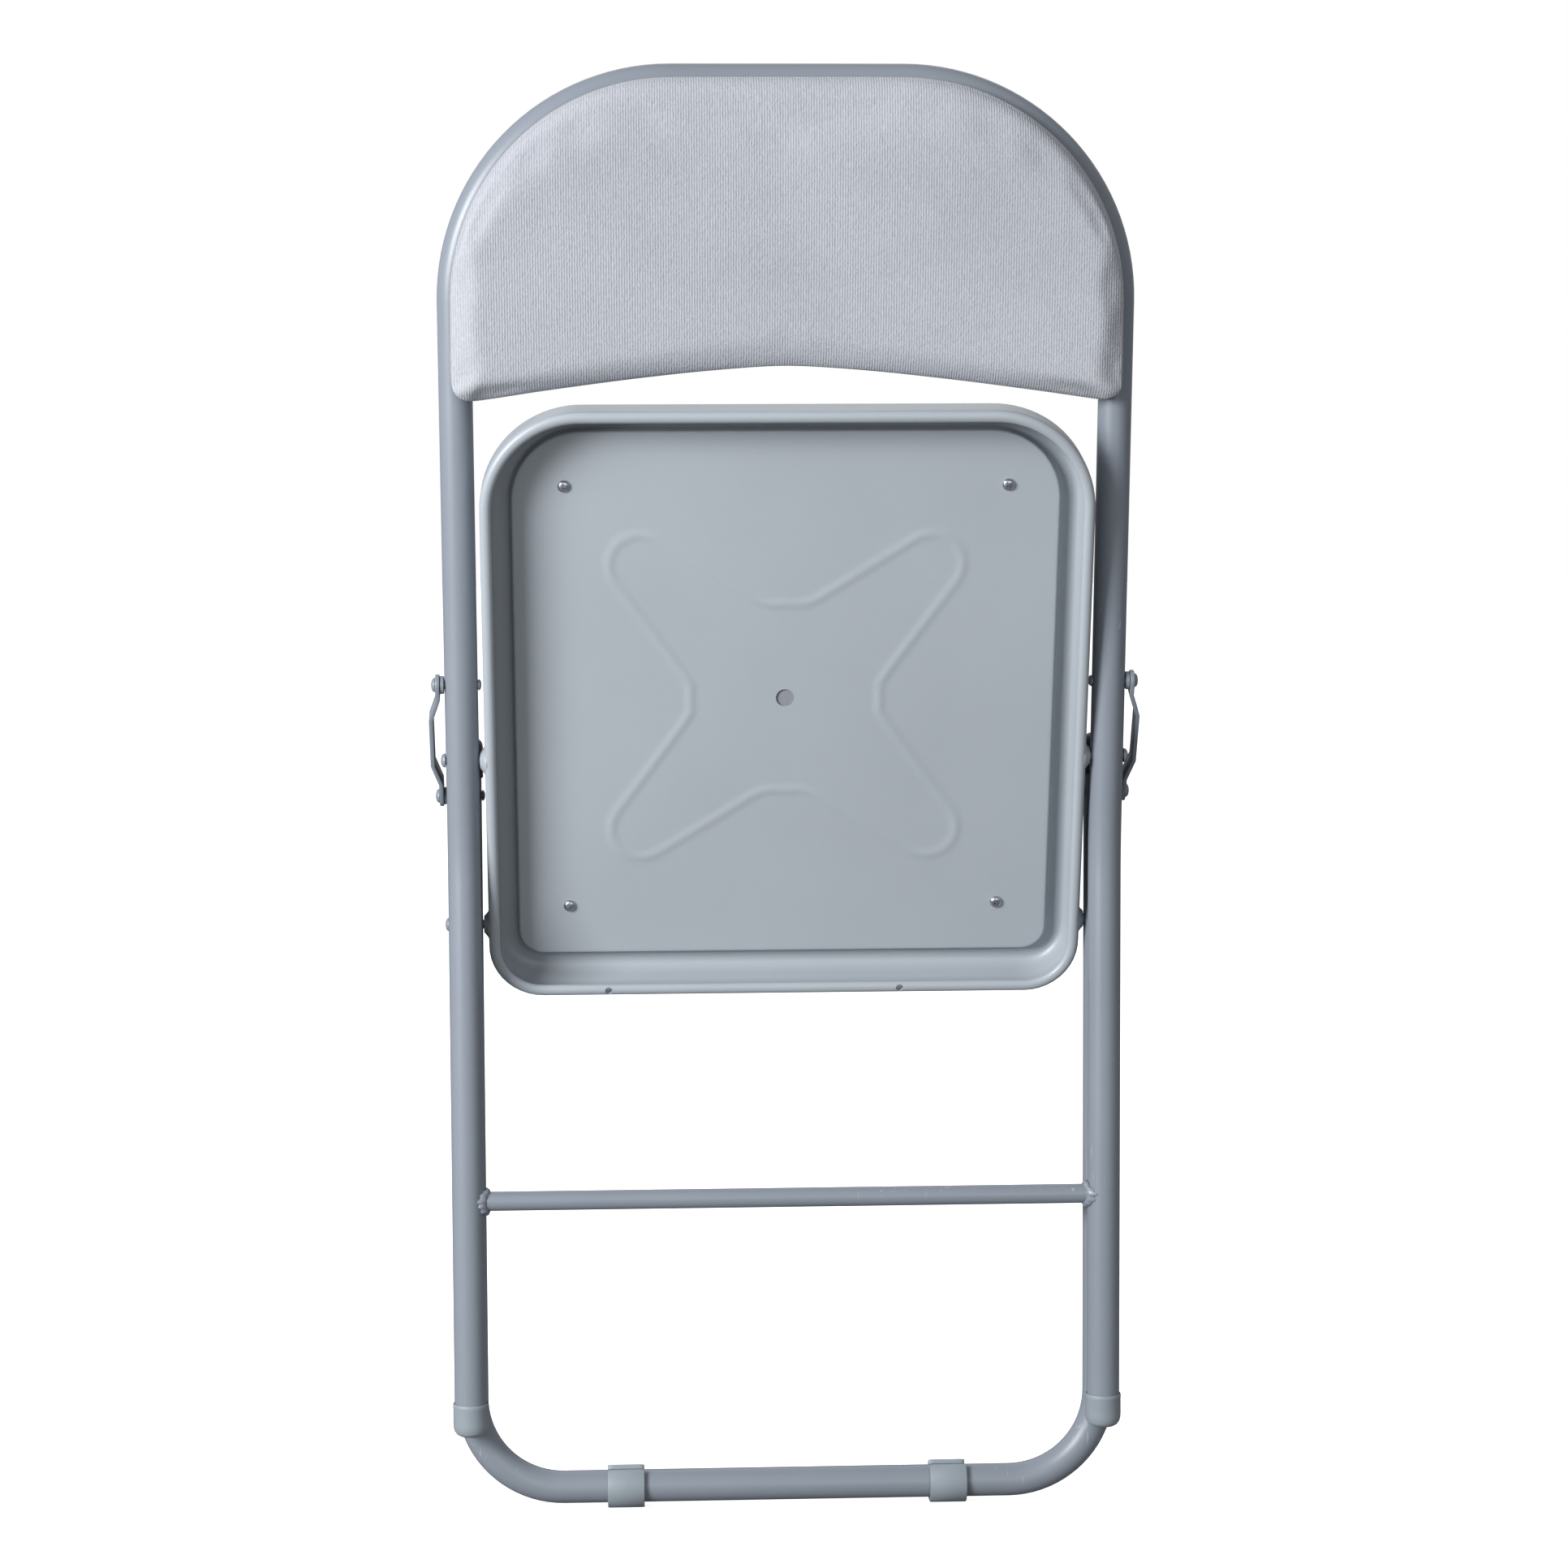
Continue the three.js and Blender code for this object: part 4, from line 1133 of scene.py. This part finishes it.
CLIP_WIDTH = 0.025
CLIP_OUTER = 0.0146
CLIP_INNER = TUBE_R + GAP
CLIP_OPEN = math.radians(50)
for side in ("left", "right"):
    low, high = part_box("rear_foot_" + side)
    middle_x = (low.x + high.x) / 2
    clip = bmesh.new()
    corners = [
        clip.verts.new((middle_x + dx, REAR_Y, REAR_BAR_Z + r))
        for dx, r in ((-CLIP_WIDTH / 2, CLIP_INNER), (CLIP_WIDTH / 2, CLIP_INNER),
                      (CLIP_WIDTH / 2, CLIP_OUTER), (-CLIP_WIDTH / 2, CLIP_OUTER))
    ]
    section = clip.faces.new(corners)
    pivot = Vector((middle_x, REAR_Y, REAR_BAR_Z))
    bmesh.ops.rotate(clip, verts=corners, cent=pivot, matrix=Matrix.Rotation(CLIP_OPEN / 2, 3, "X"))
    bmesh.ops.spin(clip, geom=[section] + list(section.edges) + corners, cent=pivot, axis=(1, 0, 0),
                   dvec=(0, 0, 0), angle=2 * math.pi - CLIP_OPEN, steps=44, use_merge=False,
                   use_duplicate=False)
    bmesh.ops.recalc_face_normals(clip, faces=clip.faces)
    # the corners of the clip's two lips, across its thickness
    tips = [
        edge for edge in clip.edges
        if len(edge.link_faces) == 2
        and all(face.calc_area() > 1e-7 for face in edge.link_faces)
        and abs(edge.verts[0].co.x - edge.verts[1].co.x) < 1e-6
        and edge.calc_face_angle() > 1.3
        and abs((edge.verts[0].co - pivot).length - (edge.verts[1].co - pivot).length) > 0.002
    ]
    soften(clip, tips, 0.004, 5)
    soften(clip, creases(clip), 0.0006, 2)
    for vert in clip.verts:
        vert.co.z = max(vert.co.z, 0)
    finish_piece("bar_clip_" + side, clip, "rear_frame", foot_plastic,
                 ["rear_foot_" + side])

cap_plastic = moulded("cap_plastic", (0.028, 0.034, 0.044, 1), 0.42, 0.2)
for side in ("left", "right"):
    low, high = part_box("rear_cap_" + side)
    sign = -1 if side == "left" else 1
    foot = Matrix.Translation((sign * FRAME_HALF, REAR_Y, low.z))
    outer = (high.x - low.x) / 2
    tall = high.z - low.z
    bore = TUBE_R + GAP
    cap = bmesh.new()
    cap_profile = [
        (bore, 0), (bore + 0.0006, 0), (outer, 0.0006), (outer, tall - 0.0066),
        (outer - 0.0003, tall - 0.0048), (outer - 0.0011, tall - 0.0032),
        (outer - 0.0026, tall - 0.0016), (0.0072, tall - 0.0005), (0.0036, tall),
        (0, tall), (0, tall - 0.0043), (bore, tall - 0.0043),
    ]
    spin_profile(cap, cap_profile, foot, 48, closed=True)
    finish_piece("leg_cap_" + side, cap, "rear_frame", cap_plastic, ["rear_cap_" + side])

# ---- Side links ----------------------------------------------------------------------------
# A pressed steel strap outside each pair of tubes, set outward between its two round ends. It
# turns on a rivet and a spacer at each end and is painted with the frame.

LINK_INNER = FRAME_HALF + TUBE_R + 0.0031
LINK_THICK = 0.0028
LINK_JOGGLE = 0.005
LINK_HALF_WIDTH = 0.007
JOGGLE_START = 0.009
JOGGLE_END = 0.012
JOGGLE_RUN = 0.015
link_pivot = Vector(joints["left_link_swing"]["pos_m"])
lower_low, lower_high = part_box("link_lower_spacer_left")
link_foot = (lower_low + lower_high) / 2
LINK_LENGTH = math.hypot(link_pivot.y - link_foot.y, link_pivot.z - link_foot.z)
LINK_TILT = math.atan2(link_foot.y - link_pivot.y, link_pivot.z - link_foot.z)


def joggle(z):
    """How far outward the strap is set at a height below its upper pivot."""
    down = -z
    rising = max(0, min(1, (down - JOGGLE_START) / JOGGLE_RUN))
    falling = max(0, min(1, (LINK_LENGTH - JOGGLE_END - down) / JOGGLE_RUN))
    return LINK_JOGGLE * min(rising, falling)


link_place = Matrix.Translation((0, link_pivot.y, link_pivot.z)) @ Matrix.Rotation(LINK_TILT, 4, "X")
for side, sign in (("left", -1), ("right", 1)):
    strap = bmesh.new()
    rim = bmesh.ops.create_circle(strap, segments=40, radius=LINK_HALF_WIDTH, cap_ends=True)["verts"]
    bmesh.ops.transform(strap, matrix=Matrix.Rotation(math.pi / 2, 4, "Y"), verts=rim)
    for vert in rim:
        if vert.co.z < -1e-6:
            vert.co.z -= LINK_LENGTH
    cuts = [-0.006 - 0.003 * i for i in range(8)]
    cuts += [-LINK_LENGTH + 0.009 + 0.003 * i for i in range(8)]
    for z in cuts:
        bmesh.ops.bisect_plane(strap, geom=strap.verts[:] + strap.edges[:] + strap.faces[:],
                               plane_co=(0, 0, z), plane_no=(0, 0, 1))
    for vert in strap.verts:
        vert.co.x = sign * (LINK_INNER + joggle(vert.co.z))
    grown = bmesh.ops.extrude_face_region(strap, geom=strap.faces[:])["geom"]
    bmesh.ops.translate(strap, vec=(sign * LINK_THICK, 0, 0), verts=verts_of(grown))
    bmesh.ops.recalc_face_normals(strap, faces=strap.faces)
    soften(strap, creases(strap), 0.0005, 2)
    bmesh.ops.transform(strap, matrix=link_place, verts=strap.verts)
    finish_piece("strap_" + side, strap, side + "_link", frame_paint, ["link_" + side])

# ---- Spacers and rivets --------------------------------------------------------------------
# Turned steel rings hold the straps off the tubes. Each pivot is a 6 mm rivet with a domed
# head outside and a small closed head inside; the lower link rivet is in two lengths.


def turned_piece(name, profile, place, body, node, closed=False):
    """A spacer or rivet turned round its place's axis, painted with the frame."""
    bm = bmesh.new()
    spin_profile(bm, profile, place, 40, closed)
    finish_piece(name, bm, body, frame_paint, [node])


def dome(face, reach, radius):
    """Profile of a domed head that starts at the face and stands out by reach."""
    return [
        (radius, face), (radius * 0.995, face + reach * 0.12), (radius * 0.95, face + reach * 0.38),
        (radius * 0.84, face + reach * 0.64), (radius * 0.64, face + reach * 0.85),
        (radius * 0.36, face + reach * 0.97), (0, face + reach),
    ]


RIVET_R = 0.003
INNER_REACH = 0.002
PIVOT_REACH = 0.003
PIVOT_INNER_R = 0.0041
LINK_REACH = 0.0025
LINK_INNER_R = 0.00375


def near_and_far(low, high):
    """How far from the chair's middle the box starts and ends."""
    return min(abs(low.x), abs(high.x)), max(abs(low.x), abs(high.x))


def inner_head(near, radius):
    """Profile of the small closed head inside, out to the stem."""
    head = [(r, -h) for r, h in dome(-near - INNER_REACH, INNER_REACH, radius)]
    return head[::-1] + [(RIVET_R, near + INNER_REACH)]


for side, sign in (("left", -1), ("right", 1)):
    for level, body, pivot in (
        ("upper", "front_frame", link_pivot),
        ("lower", side + "_link", link_foot),
    ):
        low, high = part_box(f"link_{level}_spacer_{side}")
        near, far = near_and_far(low, high)
        ring_profile = [
            (RIVET_R + GAP, near), (0.0056, near), (0.006, near + 0.0003), (0.006, far - 0.0003),
            (0.0056, far), (RIVET_R + GAP, far),
        ]
        axis_place = sideways(sign, 0, pivot.y, pivot.z)
        turned_piece(f"spacer_{level}_{side}", ring_profile, axis_place, body,
                     f"link_{level}_spacer_{side}", closed=True)

    for name, body, pivot, node in (
        ("seat_rivet", "front_frame", seat_pivot, "seat_pivot_rivet_"),
        ("rear_rivet", "rear_frame", rear_pivot, "rear_pivot_rivet_"),
        ("link_rivet", "front_frame", link_pivot, "link_upper_rivet_"),
        ("link_rivet_head", side + "_link", link_foot, "link_lower_rivet_"),
        ("link_rivet_tail", "rear_frame", link_foot, "rear_link_rivet_tail_"),
    ):
        low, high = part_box(node + side)
        near, far = near_and_far(low, high)
        radius = (high.z - low.z) / 2
        axis_place = sideways(sign, 0, pivot.y, pivot.z)
        reach = LINK_REACH if name.startswith("link") else PIVOT_REACH
        inner_r = LINK_INNER_R if name.startswith("link") else PIVOT_INNER_R
        domed = [(RIVET_R, far - reach)] + dome(far - reach, reach, radius)
        if name == "link_rivet_head":
            profile = [(0, near), (RIVET_R, near)] + domed
        elif name == "link_rivet_tail":
            profile = inner_head(near, radius) + [(RIVET_R, far), (0, far)]
        else:
            profile = inner_head(near, inner_r) + domed
        turned_piece(f"{name}_{side}", profile, axis_place, body, node + side)
